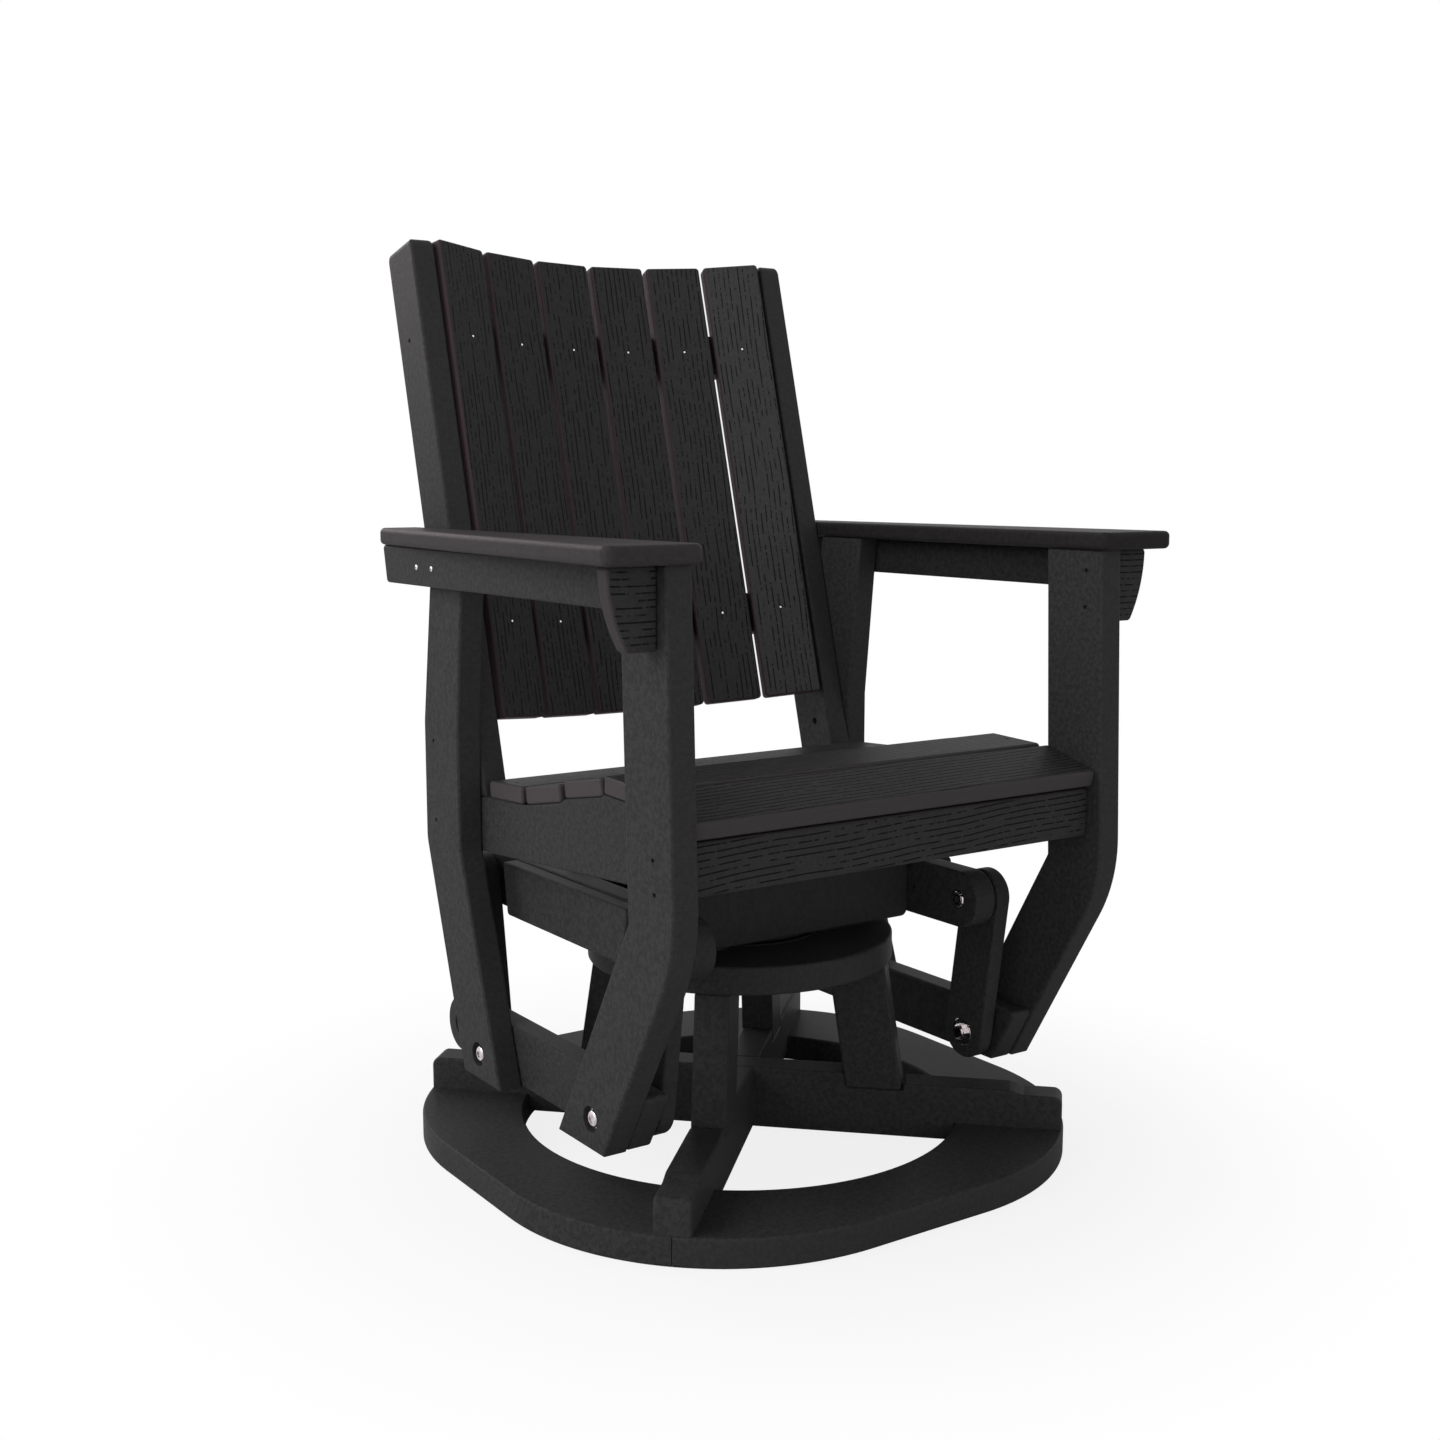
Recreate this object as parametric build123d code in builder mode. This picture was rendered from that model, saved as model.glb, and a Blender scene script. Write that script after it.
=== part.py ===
from build123d import *
import os
from math import asin, cos, radians, sin, sqrt, tan

# Swivel glider: an outdoor armchair of plastic boards. The chair hangs on four links from a frame that
# turns on a ring base. Z is up from the ground, the front faces -Y, and the origin is on the ground under
# the swivel axis. Left and right are as seen from in front, so right is +X. Lengths are in millimetres.

# Boards
frame_thick = 28.6
slat_thick = 19.0
edge_round = 3.2
board_corner = 4.5
arm_round = 5.5
arm_corner = 10.0
rail_height = 63.5
cut_over = 2.0

# Ring on the ground
ring_thick = 31.0
ring_half_width = 337.0
ring_flat_half = 75.0
ring_band = 88.6
ring_seam = 0.8

# Crossed beams, with heights measured from the ring's top face
beam_thick = 38.0
beam_end_inset = 2.1
beam_ground_gap = 11.4
beam_top_height = 50.0
notch_height = 33.0
tail_height = 41.5
tail_end_height = 37.0
tail_slope_length = 16.0
tail_flat_length = 42.0
beam_corner = 3.5
beam_end_round = 9.5
notch_play = 1.5
ring_play = 0.5

# Posts between the beams and the swivel plate
post_width = 63.5
post_height = 146.5
post_foot_inner = 125.0
post_lean = 8.5

# Swivel plate and flat ball bearing
swivel_plate_radius = 173.0
swivel_plate_thick = 31.0
bearing_outer_radius = 90.0
bearing_band = 28.0
race_thick = 1.6
ball_radius = 1.5
ball_gap = 0.15
ball_count = 24

# Swivelling frame
cross_half_length = 171.5
cross_height = 75.0
cross_front_reach = 92.0
cross_corner = 8.0
rail_lift = 4.25
side_board_height = 61.0
side_board_half_length = 127.5

# Hanging links: the pivots are symmetrical about a line behind the swivel axis
link_mid_y = 22.4
upper_pivot_half = 198.5
lower_pivot_half = 174.5
link_drop = 164.25
link_width = 60.0
upper_spacer_gap = 4.4
lower_spacer_gap = 5.4
axial_gap = 0.3

# Bolts
bolt_radius = 6.35
bolt_play = 0.1
pivot_play = 0.06
opened_pivot_play = 2.6
recess_radius = 13.5
recess_depth = 6.0
nut_recess_depth = 8.0
washer_radius = 10.6
washer_thick = 1.3
link_washer_radius = 15.4
bolt_head_radius = 8.8
bolt_head_height = 3.8
bolt_dome_height = 1.6
socket_radius = 3.8
socket_depth = 2.4
nut_radius = 9.8
nut_thick = 6.0
sleeve_nut_radius = 9.8
sleeve_recess_radius = 10.6
sleeve_recess_depth = 10.0
sleeve_stand = 1.2

# Chair legs: heights are measured from the underside of the lower rails
leg_height = 584.0
front_leg_width = 81.2
front_leg_top_y = -295.4
front_leg_bend_y = -307.2
front_leg_front_bend = 227.0
front_leg_rear_bend = 246.0
front_foot_ahead = 23.5
front_foot_behind = 67.0
leg_front_bend_radius = 170.0
leg_rear_bend_radius = 45.0
lower_rail_setback = 1.5
rear_leg_top_front_y = 109.5
rear_leg_top_rear_y = 187.0
rear_leg_front_y = 129.9
rear_leg_rear_y = 215.4
rear_leg_upper_bend = 387.5
rear_leg_lower_bend = 253.0
rear_foot_front_y = 43.4
rear_foot_rear_y = 129.6
rear_bolt_y = 94.9
rear_bolt_drop = 2.75

# Seat: each slat has the place of its top face's middle and its rise towards the front in degrees
seat_slat_width = 76.2
seat_slat_round = 4.0
seat_slat_y = (73.9, -8.1, -92.1, -174.1, -259.1)
seat_slat_top = (332.3, 342.3, 361.2, 369.9, 359.1)
seat_slat_rise = (3.1, 10.6, 10.3, -2.0, -15.0)
seat_rail_rear_y = 207.9
seat_rail_rear_bottom = 241.4
seat_rail_front_bottom = 276.1
front_board_rear_y = -266.5
front_board_bottom = 277.0
front_board_height = 52.0

# Back: depths are measured to the rear from the plane of the posts' foot, square to the slats
back_foot_y = 148.5
back_foot_height = 412.0
back_lean = 14.81
back_post_width = 66.0
back_post_top = 930.0
back_post_rear_lift = 2.0
back_post_corner = 12.0
back_post_end_round = 8.0
back_slat_count = 6
back_slat_gap = 5.2
back_slat_length = 554.5
back_slat_bottom = -19.3
back_edge_depth = -3.5
back_hollow = 47.0
back_side_gap = 6.8
support_height = 50.0
support_low = 91.6
support_high = 425.9

# Arms, aprons and corbels
arm_front_y = -307.1
arm_rear_y = 276.9
arm_front_overhang_in = 6.9
arm_front_overhang_out = 67.7
arm_rear_overhang_in = 1.5
arm_rear_overhang_out = 51.5
apron_height = 42.5
apron_front_y = -263.6
apron_rear_y = 265.9
apron_end_slant = 9.0
corbel_height = 77.5
corbel_reach = 51.9
corbel_mid_reach = 46.9
corbel_low_reach = 31.4
corbel_mid_drop = 40.0
corbel_corner = 5.0

# Small screws: places are (y, height above the lower rails' underside), or (y, drop below the arms)
screw_radius = 2.4
screw_play = 0.1
screw_inset = 0.4
screw_bite = 18.0
bright_head_radius = 3.0
bright_head_height = 1.2
front_leg_screws = ((-271.6, 315.0), (-273.8, 283.0))
rear_leg_screws = ((188.9, 277.0),)
post_screws = ((191.5, 367.0),)
inner_post_screw = (162.2, 352.0)
inner_recess_radius = 4.3
inner_recess_depth = 7.0
corbel_screw_drops = (22.0, 61.0)
apron_screw_drops = ((183.5, 22.0), (145.5, 22.0))
support_screw_depth = 37.0
rail_screw_reach = 74.6

os.makedirs("parts", exist_ok=True)

# Outline of the ring, and how far the beams reach over its corners
ring_bore_radius = ring_half_width - ring_band
ring_corner_radius = ring_half_width - ring_flat_half
beam_half_length = ring_flat_half * sqrt(2) + ring_corner_radius - beam_end_inset

# Bore of the flat ball bearing
bearing_inner_radius = bearing_outer_radius - bearing_band

# Screws under the arms, as heights above the lower rails' underside
corbel_screws = tuple((apron_front_y - slat_thick / 2, leg_height - drop) for drop in corbel_screw_drops)
apron_screws = tuple((y, leg_height - drop) for y, drop in apron_screw_drops)

# Layers from the middle outwards
rail_out = cross_half_length + frame_thick
link_in = rail_out + upper_spacer_gap
link_out = link_in + slat_thick
chair_in = link_out + lower_spacer_gap
chair_out = chair_in + frame_thick
leg_out = chair_out + frame_thick
apron_out = leg_out + slat_thick

# Heights of the base and the swivelling frame
notch_z = ring_thick + notch_height
plate_z = notch_z + post_height
plate_top_z = plate_z + swivel_plate_thick
ball_z = plate_top_z + race_thick + ball_gap + ball_radius
upper_race_z = ball_z + ball_radius + ball_gap
frame_z = upper_race_z + race_thick
upper_pivot_z = frame_z + rail_lift + rail_height / 2
lower_pivot_z = upper_pivot_z - link_drop
chair_z = lower_pivot_z - rail_height / 2

# Places of the pivots
front_upper_y = link_mid_y - upper_pivot_half
rear_upper_y = link_mid_y + upper_pivot_half
front_lower_y = link_mid_y - lower_pivot_half
rear_lower_y = link_mid_y + lower_pivot_half
link_slant = (upper_pivot_half - lower_pivot_half) / link_drop


def side_plane(x, z=0):
    """Upright plane at x: its first axis runs to the rear and its second runs up."""
    return Plane(origin=(x, 0, z), x_dir=(0, 1, 0), z_dir=(1, 0, 0))


def outward(x, y, z):
    """Plane whose normal points to +X, for holes that are drilled from that side."""
    return Plane(origin=(x, y, z), x_dir=(0, 1, 0), z_dir=(1, 0, 0))


def inward(x, y, z):
    """Plane whose normal points to -X, for holes that are drilled from that side."""
    return Plane(origin=(x, y, z), x_dir=(0, 1, 0), z_dir=(-1, 0, 0))


def radial_plane(angle):
    """Upright plane through the swivel axis: its first axis runs outwards at the angle."""
    return Plane(
        origin=(0, 0, 0),
        x_dir=(cos(radians(angle)), sin(radians(angle)), 0),
        z_dir=(sin(radians(angle)), -cos(radians(angle)), 0),
    )


def save(piece, name):
    """Label a finished piece and write it under its own name."""
    piece.part.label = name
    export_step(piece.part, f"parts/{name}.step")


def save_pair(piece, name):
    """Write a right-hand piece and its mirror image on the left."""
    save(piece, f"{name}_right")
    with BuildPart() as twin:
        mirror(piece.part, about=Plane.YZ)
    save(twin, f"{name}_left")


# Ring of four boards with a narrow seam between them under the beams
wedge_reach = 2 * ring_half_width
wedge_shift = ring_seam / sqrt(2)
for name, angle in (("right", 0), ("rear", 90), ("left", 180), ("front", 270)):
    with BuildPart() as ring_segment:
        with BuildSketch(Plane.XY):
            RectangleRounded(2 * ring_half_width, 2 * ring_half_width, ring_corner_radius)
            Circle(ring_bore_radius, mode=Mode.SUBTRACT)
        extrude(amount=ring_thick)
        fillet(edges().filter_by(Axis.Z, reverse=True), edge_round)
        with BuildSketch(Plane.XY):
            with BuildLine():
                wedge_point = (wedge_shift * cos(radians(angle)), wedge_shift * sin(radians(angle)))
                wedge_start = PolarLine(wedge_point, wedge_reach, angle - 45)
                wedge_end = PolarLine(wedge_point, wedge_reach, angle + 45)
                Line(wedge_start @ 1, wedge_end @ 1)
            make_face()
        extrude(amount=ring_thick, mode=Mode.INTERSECT)
    save(ring_segment, f"ring_segment_{name}")

# Crossed beams, half-lapped at the middle, with a notch for each post and a step over the ring
beam_top_z = ring_thick + beam_top_height
tail_z = ring_thick + tail_height
tail_end_z = ring_thick + tail_end_height
lap_z = (beam_ground_gap + beam_top_z) / 2
post_foot_outer = post_foot_inner + post_width
notch_inner_top = post_foot_inner - (beam_top_z - notch_z) * tan(radians(post_lean))
step_reach = sqrt(ring_bore_radius**2 - (beam_thick / 2) ** 2) - ring_play
half_beam = (
    (notch_inner_top, beam_top_z),
    (post_foot_inner, notch_z),
    (post_foot_outer + notch_play, notch_z),
    (post_foot_outer + notch_play, tail_z),
    (beam_half_length - tail_flat_length - tail_slope_length, tail_z),
    (beam_half_length - tail_flat_length, tail_end_z),
    (beam_half_length, tail_end_z),
    (beam_half_length, ring_thick),
    (step_reach, ring_thick),
    (step_reach, beam_ground_gap),
)
other_half_beam = tuple((-reach, z) for reach, z in reversed(half_beam))
for name, angle, lap_low in (("a", 45, lap_z), ("b", 135, beam_ground_gap)):
    beam_plane = radial_plane(angle)
    across = Axis((0, 0, 0), beam_plane.z_dir)
    with BuildPart() as base_beam:
        with BuildSketch(beam_plane):
            with BuildLine():
                Polyline(*half_beam, *other_half_beam, close=True)
            make_face()
            upper_corners = vertices().filter_by(lambda corner: corner.Y > notch_z - beam_corner)
            fillet(upper_corners.sort_by(Axis.X)[1:-1], beam_corner)
            for end in (0, -1):
                fillet(vertices().group_by(Axis.X)[end].sort_by(Axis.Y)[-1], beam_end_round)
        extrude(amount=beam_thick / 2, both=True)
        upper_edges = edges().filter_by(across, reverse=True)
        fillet(upper_edges.filter_by(lambda edge: edge.center().Z > ring_thick + edge_round), edge_round)
        with BuildSketch(Plane.XY.offset(lap_low)):
            Rectangle(beam_thick, beam_thick, rotation=angle)
        extrude(amount=(beam_top_z - beam_ground_gap) / 2, mode=Mode.SUBTRACT)
    save(base_beam, f"base_beam_{name}")

# Leaning posts in the notches
post_shift = post_height * tan(radians(post_lean))
for name, angle in (("rear_right", 45), ("rear_left", 135), ("front_left", 225), ("front_right", 315)):
    post_plane = radial_plane(angle)
    across = Axis((0, 0, 0), post_plane.z_dir)
    with BuildPart() as base_post:
        with BuildSketch(post_plane):
            with BuildLine():
                Polyline(
                    (post_foot_inner, notch_z),
                    (post_foot_outer, notch_z),
                    (post_foot_outer - post_shift, plate_z),
                    (post_foot_inner - post_shift, plate_z),
                    close=True,
                )
            make_face()
            fillet(vertices(), board_corner)
        extrude(amount=beam_thick / 2, both=True)
        fillet(edges().filter_by(across, reverse=True), edge_round)
    save(base_post, f"base_post_{name}")

# Round swivel plate on the posts
with BuildPart() as swivel_plate:
    with BuildSketch(Plane.XY.offset(plate_z)):
        Circle(swivel_plate_radius)
    extrude(amount=swivel_plate_thick)
    fillet(edges().filter_by(GeomType.CIRCLE), edge_round)
save(swivel_plate, "swivel_plate")

# Flat ball bearing: a fixed race, its balls and a turning race
for name, race_z in (("lower", plate_top_z), ("upper", upper_race_z)):
    with BuildPart() as bearing_plate:
        with BuildSketch(Plane.XY.offset(race_z)):
            Circle(bearing_outer_radius)
            Circle(bearing_inner_radius, mode=Mode.SUBTRACT)
        extrude(amount=race_thick)
    save(bearing_plate, f"bearing_{name}_plate")

with BuildPart() as bearing_balls:
    with Locations((0, 0, ball_z)):
        with PolarLocations((bearing_outer_radius + bearing_inner_radius) / 2, ball_count):
            Sphere(ball_radius)
save(bearing_balls, "bearing_balls")

# Cross boards on the turning race
for name, front_y in (("front", -cross_front_reach), ("rear", cross_front_reach - frame_thick)):
    with BuildPart() as cross_board:
        with BuildSketch(Plane.XZ.offset(-front_y)):
            with Locations((0, frame_z)):
                Rectangle(2 * cross_half_length, cross_height, align=(Align.CENTER, Align.MIN))
            fillet(vertices().group_by(Axis.Y)[0], cross_corner)
            fillet(vertices().group_by(Axis.Y)[-1], board_corner)
        extrude(amount=-frame_thick)
        fillet(edges().filter_by(Axis.Y, reverse=True), edge_round)
    save(cross_board, f"cross_board_{name}")

# Glider rails with a sleeve-nut recess and a bolt hole at each round end
with BuildPart() as glider_rail:
    with BuildSketch(side_plane(cross_half_length, upper_pivot_z)):
        with Locations((link_mid_y, 0)):
            SlotCenterToCenter(2 * upper_pivot_half, rail_height)
    extrude(amount=frame_thick)
    fillet(edges().filter_by(Axis.X, reverse=True), edge_round)
    for pivot_y in (front_upper_y, rear_upper_y):
        with Locations(inward(cross_half_length, pivot_y, upper_pivot_z)):
            CounterBoreHole(bolt_radius + bolt_play, sleeve_recess_radius, sleeve_recess_depth)
    for screw_y in (front_upper_y + rail_screw_reach, rear_upper_y - rail_screw_reach):
        with Locations(inward(cross_half_length, screw_y, upper_pivot_z)):
            Hole(screw_radius + screw_play, depth=screw_bite)
save_pair(glider_rail, "glider_rail")

# Thin boards outside the glider rails, with ends that follow the links
with BuildPart() as side_board:
    half_top = side_board_half_length + side_board_height * link_slant
    with BuildSketch(side_plane(rail_out, upper_pivot_z - side_board_height / 2)):
        with BuildLine():
            Polyline(
                (link_mid_y - side_board_half_length, 0),
                (link_mid_y + side_board_half_length, 0),
                (link_mid_y + half_top, side_board_height),
                (link_mid_y - half_top, side_board_height),
                close=True,
            )
        make_face()
        fillet(vertices(), board_corner)
    extrude(amount=slat_thick)
    fillet(edges().filter_by(Axis.X, reverse=True), edge_round)
save_pair(side_board, "side_board")

# Hanging links: the rear ones have a wide lower hole, where the closed linkage is opened
link_ends = (
    ("link_front", front_upper_y, front_lower_y, pivot_play),
    ("link_rear", rear_upper_y, rear_lower_y, opened_pivot_play),
)
for name, upper_y, lower_y, lower_play in link_ends:
    with BuildPart() as link:
        with BuildSketch(side_plane(link_in)):
            with BuildLine():
                Line((upper_y, upper_pivot_z), (lower_y, lower_pivot_z))
            trace(line_width=link_width)
            with Locations((upper_y, upper_pivot_z), (lower_y, lower_pivot_z)):
                Circle(link_width / 2)
        extrude(amount=slat_thick)
        fillet(edges().filter_by(Axis.X, reverse=True), edge_round)
        with Locations(outward(link_out, upper_y, upper_pivot_z)):
            CounterBoreHole(bolt_radius + pivot_play, recess_radius, recess_depth)
        with Locations(inward(link_in, lower_y, lower_pivot_z)):
            Hole(bolt_radius + lower_play)
    save_pair(link, name)


def bolt_outline(head_x, tip_x):
    """Outline of half a bolt in (x, radius): head outwards at head_x, shank in to tip_x."""
    washer_x = head_x + washer_thick
    crown_x = washer_x + bolt_head_height
    return (
        (tip_x, 0),
        (tip_x, bolt_radius),
        (head_x, bolt_radius),
        (head_x, washer_radius),
        (washer_x, washer_radius),
        (washer_x, bolt_head_radius),
        (crown_x - bolt_dome_height, bolt_head_radius),
        (crown_x, bolt_head_radius - bolt_dome_height),
        (crown_x, 0),
    )


# Upper pivot bolts: head in the link's outer face, sleeve nut a little proud of the rail's inner face
upper_head_x = link_out - recess_depth + axial_gap
sleeve_x = cross_half_length - sleeve_stand
with BuildPart() as upper_pivot_bolts:
    for pivot_y in (front_upper_y, rear_upper_y):
        bolt_axis = Axis((0, pivot_y, upper_pivot_z), (1, 0, 0))
        with BuildSketch(Plane(origin=(0, pivot_y, upper_pivot_z), x_dir=(1, 0, 0), z_dir=(0, 0, 1))):
            with BuildLine():
                Polyline(*bolt_outline(upper_head_x, sleeve_x), close=True)
            make_face()
        revolve(axis=bolt_axis)
        with BuildSketch(side_plane(sleeve_x, upper_pivot_z)):
            with Locations((pivot_y, 0)):
                Circle(sleeve_nut_radius)
        extrude(amount=sleeve_recess_depth + sleeve_stand)
        crown_x = upper_head_x + washer_thick + bolt_head_height
        with BuildSketch(side_plane(crown_x, upper_pivot_z), side_plane(sleeve_x, upper_pivot_z)):
            with Locations((pivot_y, 0)):
                RegularPolygon(socket_radius, 6)
        extrude(amount=socket_depth, both=True, mode=Mode.SUBTRACT)
    mirror(about=Plane.YZ)
save(upper_pivot_bolts, "upper_pivot_bolts")

# Washers between rail and link, and between link and lower rail
spacers = (
    ("upper_spacers", rail_out, upper_spacer_gap, (front_upper_y, rear_upper_y), upper_pivot_z),
    ("lower_spacers", link_out + axial_gap, lower_spacer_gap, (front_lower_y, rear_lower_y), lower_pivot_z),
)
for name, spacer_x, gap, pivot_ys, pivot_z in spacers:
    with BuildPart() as spacer_group:
        with BuildSketch(side_plane(spacer_x, pivot_z)):
            for pivot_y in pivot_ys:
                with Locations((pivot_y, 0)):
                    Circle(recess_radius)
                    Circle(bolt_radius + bolt_play, mode=Mode.SUBTRACT)
        extrude(amount=gap - axial_gap)
        mirror(about=Plane.YZ)
    save(spacer_group, name)

# Lower rails, with their front end cut to the slant of the front leg
front_foot_y = front_lower_y - front_foot_ahead
foot_slope = (front_foot_y - front_leg_bend_y) / front_leg_front_bend
rail_foot_y = front_foot_y + lower_rail_setback
rear_bolt_z = lower_pivot_z - rear_bolt_drop
with BuildPart() as lower_rail:
    with BuildSketch(side_plane(chair_in, chair_z)):
        with BuildLine():
            Polyline(
                (rear_lower_y, 0),
                (rail_foot_y, 0),
                (rail_foot_y - foot_slope * rail_height, rail_height),
                (rear_lower_y, rail_height),
                close=True,
            )
        make_face()
        fillet(vertices().group_by(Axis.X)[0] + vertices().group_by(Axis.X)[1], board_corner)
        with Locations((rear_lower_y, rail_height / 2)):
            Circle(rail_height / 2)
    extrude(amount=frame_thick)
    fillet(edges().filter_by(Axis.X, reverse=True), edge_round)
    with Locations(outward(chair_out, front_lower_y, lower_pivot_z)):
        Hole(bolt_radius + bolt_play)
    with Locations(outward(chair_out, rear_lower_y, lower_pivot_z)):
        CounterBoreHole(bolt_radius + bolt_play, recess_radius, recess_depth)
    with Locations(inward(chair_in, rear_bolt_y, rear_bolt_z)):
        CounterBoreHole(bolt_radius + bolt_play, recess_radius, nut_recess_depth)
save_pair(lower_rail, "lower_rail")

# Front legs: upright above, slanted to the rear below, with the front lower pivot bolt in the foot
with BuildPart() as front_leg:
    with BuildSketch(side_plane(chair_out, chair_z)):
        with BuildLine():
            Polyline(
                (front_foot_y, 0),
                (front_leg_bend_y, front_leg_front_bend),
                (front_leg_top_y, leg_height),
                (front_leg_top_y + front_leg_width, leg_height),
                (front_leg_bend_y + front_leg_width, front_leg_rear_bend),
                (front_lower_y + front_foot_behind, 0),
                close=True,
            )
        make_face()
        leg_ends = vertices().group_by(Axis.Y)[0] + vertices().group_by(Axis.Y)[-1]
        front_bend, rear_bend = (vertices() - leg_ends).sort_by(Axis.Y)
        fillet(front_bend, leg_front_bend_radius)
        fillet(rear_bend, leg_rear_bend_radius)
        fillet(leg_ends, board_corner)
    extrude(amount=frame_thick)
    fillet(edges().filter_by(Axis.X, reverse=True), edge_round)
    with Locations(outward(leg_out, front_lower_y, lower_pivot_z)):
        CounterBoreHole(bolt_radius + bolt_play, recess_radius, recess_depth)
    for screw_y, screw_height in front_leg_screws + corbel_screws:
        with Locations(outward(leg_out, screw_y, chair_z + screw_height)):
            Hole(screw_radius + screw_play)
save_pair(front_leg, "front_leg")

# Rear legs: slanted below, upright in the middle, leaning to the front above
with BuildPart() as rear_leg:
    with BuildSketch(side_plane(chair_out, chair_z)):
        with BuildLine():
            Polyline(
                (rear_foot_front_y, 0),
                (rear_leg_front_y, rear_leg_lower_bend),
                (rear_leg_front_y, rear_leg_upper_bend),
                (rear_leg_top_front_y, leg_height),
                (rear_leg_top_rear_y, leg_height),
                (rear_leg_rear_y, rear_leg_upper_bend),
                (rear_leg_rear_y, rear_leg_lower_bend),
                (rear_foot_rear_y, 0),
                close=True,
            )
        make_face()
        leg_ends = vertices().group_by(Axis.Y)[0] + vertices().group_by(Axis.Y)[-1]
        fillet(vertices() - leg_ends, leg_rear_bend_radius)
        fillet(leg_ends, board_corner)
    extrude(amount=frame_thick)
    fillet(edges().filter_by(Axis.X, reverse=True), edge_round)
    with Locations(outward(leg_out, rear_bolt_y, rear_bolt_z)):
        CounterBoreHole(bolt_radius + bolt_play, recess_radius, recess_depth)
    for screw_y, screw_height in rear_leg_screws + post_screws:
        with Locations(outward(leg_out, screw_y, chair_z + screw_height)):
            Hole(screw_radius + screw_play)
    for screw_y, screw_height in apron_screws:
        with Locations(outward(leg_out, screw_y, chair_z + screw_height)):
            Hole(screw_radius + screw_play, depth=screw_bite)
    with Locations(inward(chair_out, inner_post_screw[0], chair_z + inner_post_screw[1])):
        Hole(screw_radius + screw_play, depth=screw_bite + inner_recess_depth)
save_pair(rear_leg, "rear_leg")


def slat_underside(index, along):
    """Point (y, height) of a seat slat's underside, the given way to the rear of its middle."""
    rise = radians(seat_slat_rise[index])
    y = seat_slat_y[index] + along * cos(rise) - slat_thick * sin(rise)
    return (y, seat_slat_top[index] - along * sin(rise) - slat_thick * cos(rise))


def slat_screw_face(index, side):
    """Plane on a seat slat's top face over the middle of the seat rail, on the right for side 1."""
    rise = radians(seat_slat_rise[index])
    return Plane(
        origin=(side * (chair_in + frame_thick / 2), seat_slat_y[index], chair_z + seat_slat_top[index]),
        x_dir=(1, 0, 0),
        z_dir=(0, sin(rise), cos(rise)),
    )


def underside_height(index, y):
    """Height of the line of a seat slat's underside at y."""
    middle_y, middle_height = slat_underside(index, 0)
    return middle_height - (y - middle_y) * tan(radians(seat_slat_rise[index]))


# Seat side rails, with a top edge that follows the undersides of the slats
half_slat = seat_slat_width / 2
last_slat = len(seat_slat_y) - 1
rail_top = [(seat_rail_rear_y, underside_height(0, seat_rail_rear_y)), slat_underside(0, -half_slat)]
for index in range(1, last_slat):
    rail_top += [slat_underside(index, half_slat), slat_underside(index, -half_slat)]
rail_top += [
    slat_underside(last_slat, half_slat),
    (front_board_rear_y, underside_height(last_slat, front_board_rear_y)),
]
with BuildPart() as seat_rail:
    with BuildSketch(side_plane(chair_in, chair_z)):
        with BuildLine():
            Polyline(
                (front_board_rear_y, seat_rail_front_bottom),
                (seat_rail_rear_y, seat_rail_rear_bottom),
                *rail_top,
                close=True,
            )
        make_face()
        fillet(vertices().group_by(Axis.X)[-1], board_corner)
    extrude(amount=frame_thick)
    fillet(edges().filter_by(Axis.X, reverse=True).group_by(Axis.Z)[0], edge_round)
    for screw_y, screw_height in rear_leg_screws:
        with Locations(outward(chair_out, screw_y, chair_z + screw_height)):
            Hole(screw_radius + screw_play, depth=screw_bite)
    for index in range(len(seat_slat_y)):
        with Locations(slat_screw_face(index, 1)):
            Hole(screw_radius + screw_play, depth=slat_thick + screw_bite)
save_pair(seat_rail, "seat_rail")

# Board under the front of the seat, between the front legs
with BuildPart() as front_board:
    with BuildSketch(Plane.XZ.offset(-front_board_rear_y)):
        with Locations((0, chair_z + front_board_bottom)):
            Rectangle(2 * chair_out, front_board_height, align=(Align.CENTER, Align.MIN))
        fillet(vertices(), board_corner)
    extrude(amount=slat_thick)
    fillet(edges().filter_by(Axis.Y, reverse=True), edge_round)
    for screw_y, screw_height in front_leg_screws:
        for board_end in (
            outward(chair_out, screw_y, chair_z + screw_height),
            inward(-chair_out, screw_y, chair_z + screw_height),
        ):
            with Locations(board_end):
                Hole(screw_radius + screw_play, depth=screw_bite)
save(front_board, "front_board")

# Seat slats, counted from the rear
for index, slat_y in enumerate(seat_slat_y):
    with BuildPart() as seat_slat:
        with BuildSketch(side_plane(-chair_out, chair_z)):
            with Locations((slat_y, seat_slat_top[index])):
                RectangleRounded(
                    seat_slat_width,
                    slat_thick,
                    seat_slat_round,
                    rotation=-seat_slat_rise[index],
                    align=(Align.CENTER, Align.MAX),
                )
        extrude(amount=2 * chair_out)
        fillet(edges().filter_by(Axis.X, reverse=True), edge_round)
        with Locations(slat_screw_face(index, -1), slat_screw_face(index, 1)):
            Hole(screw_radius + screw_play, depth=slat_thick + cut_over)
    save(seat_slat, f"seat_slat_{index + 1}")

# Directions of the back: up along the slats and square to them towards the rear
lean_angle = radians(back_lean)
back_up = Vector(0, sin(lean_angle), cos(lean_angle))
back_rear = Vector(0, cos(lean_angle), -sin(lean_angle))
back_origin = Vector(0, back_foot_y, chair_z + back_foot_height)

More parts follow.
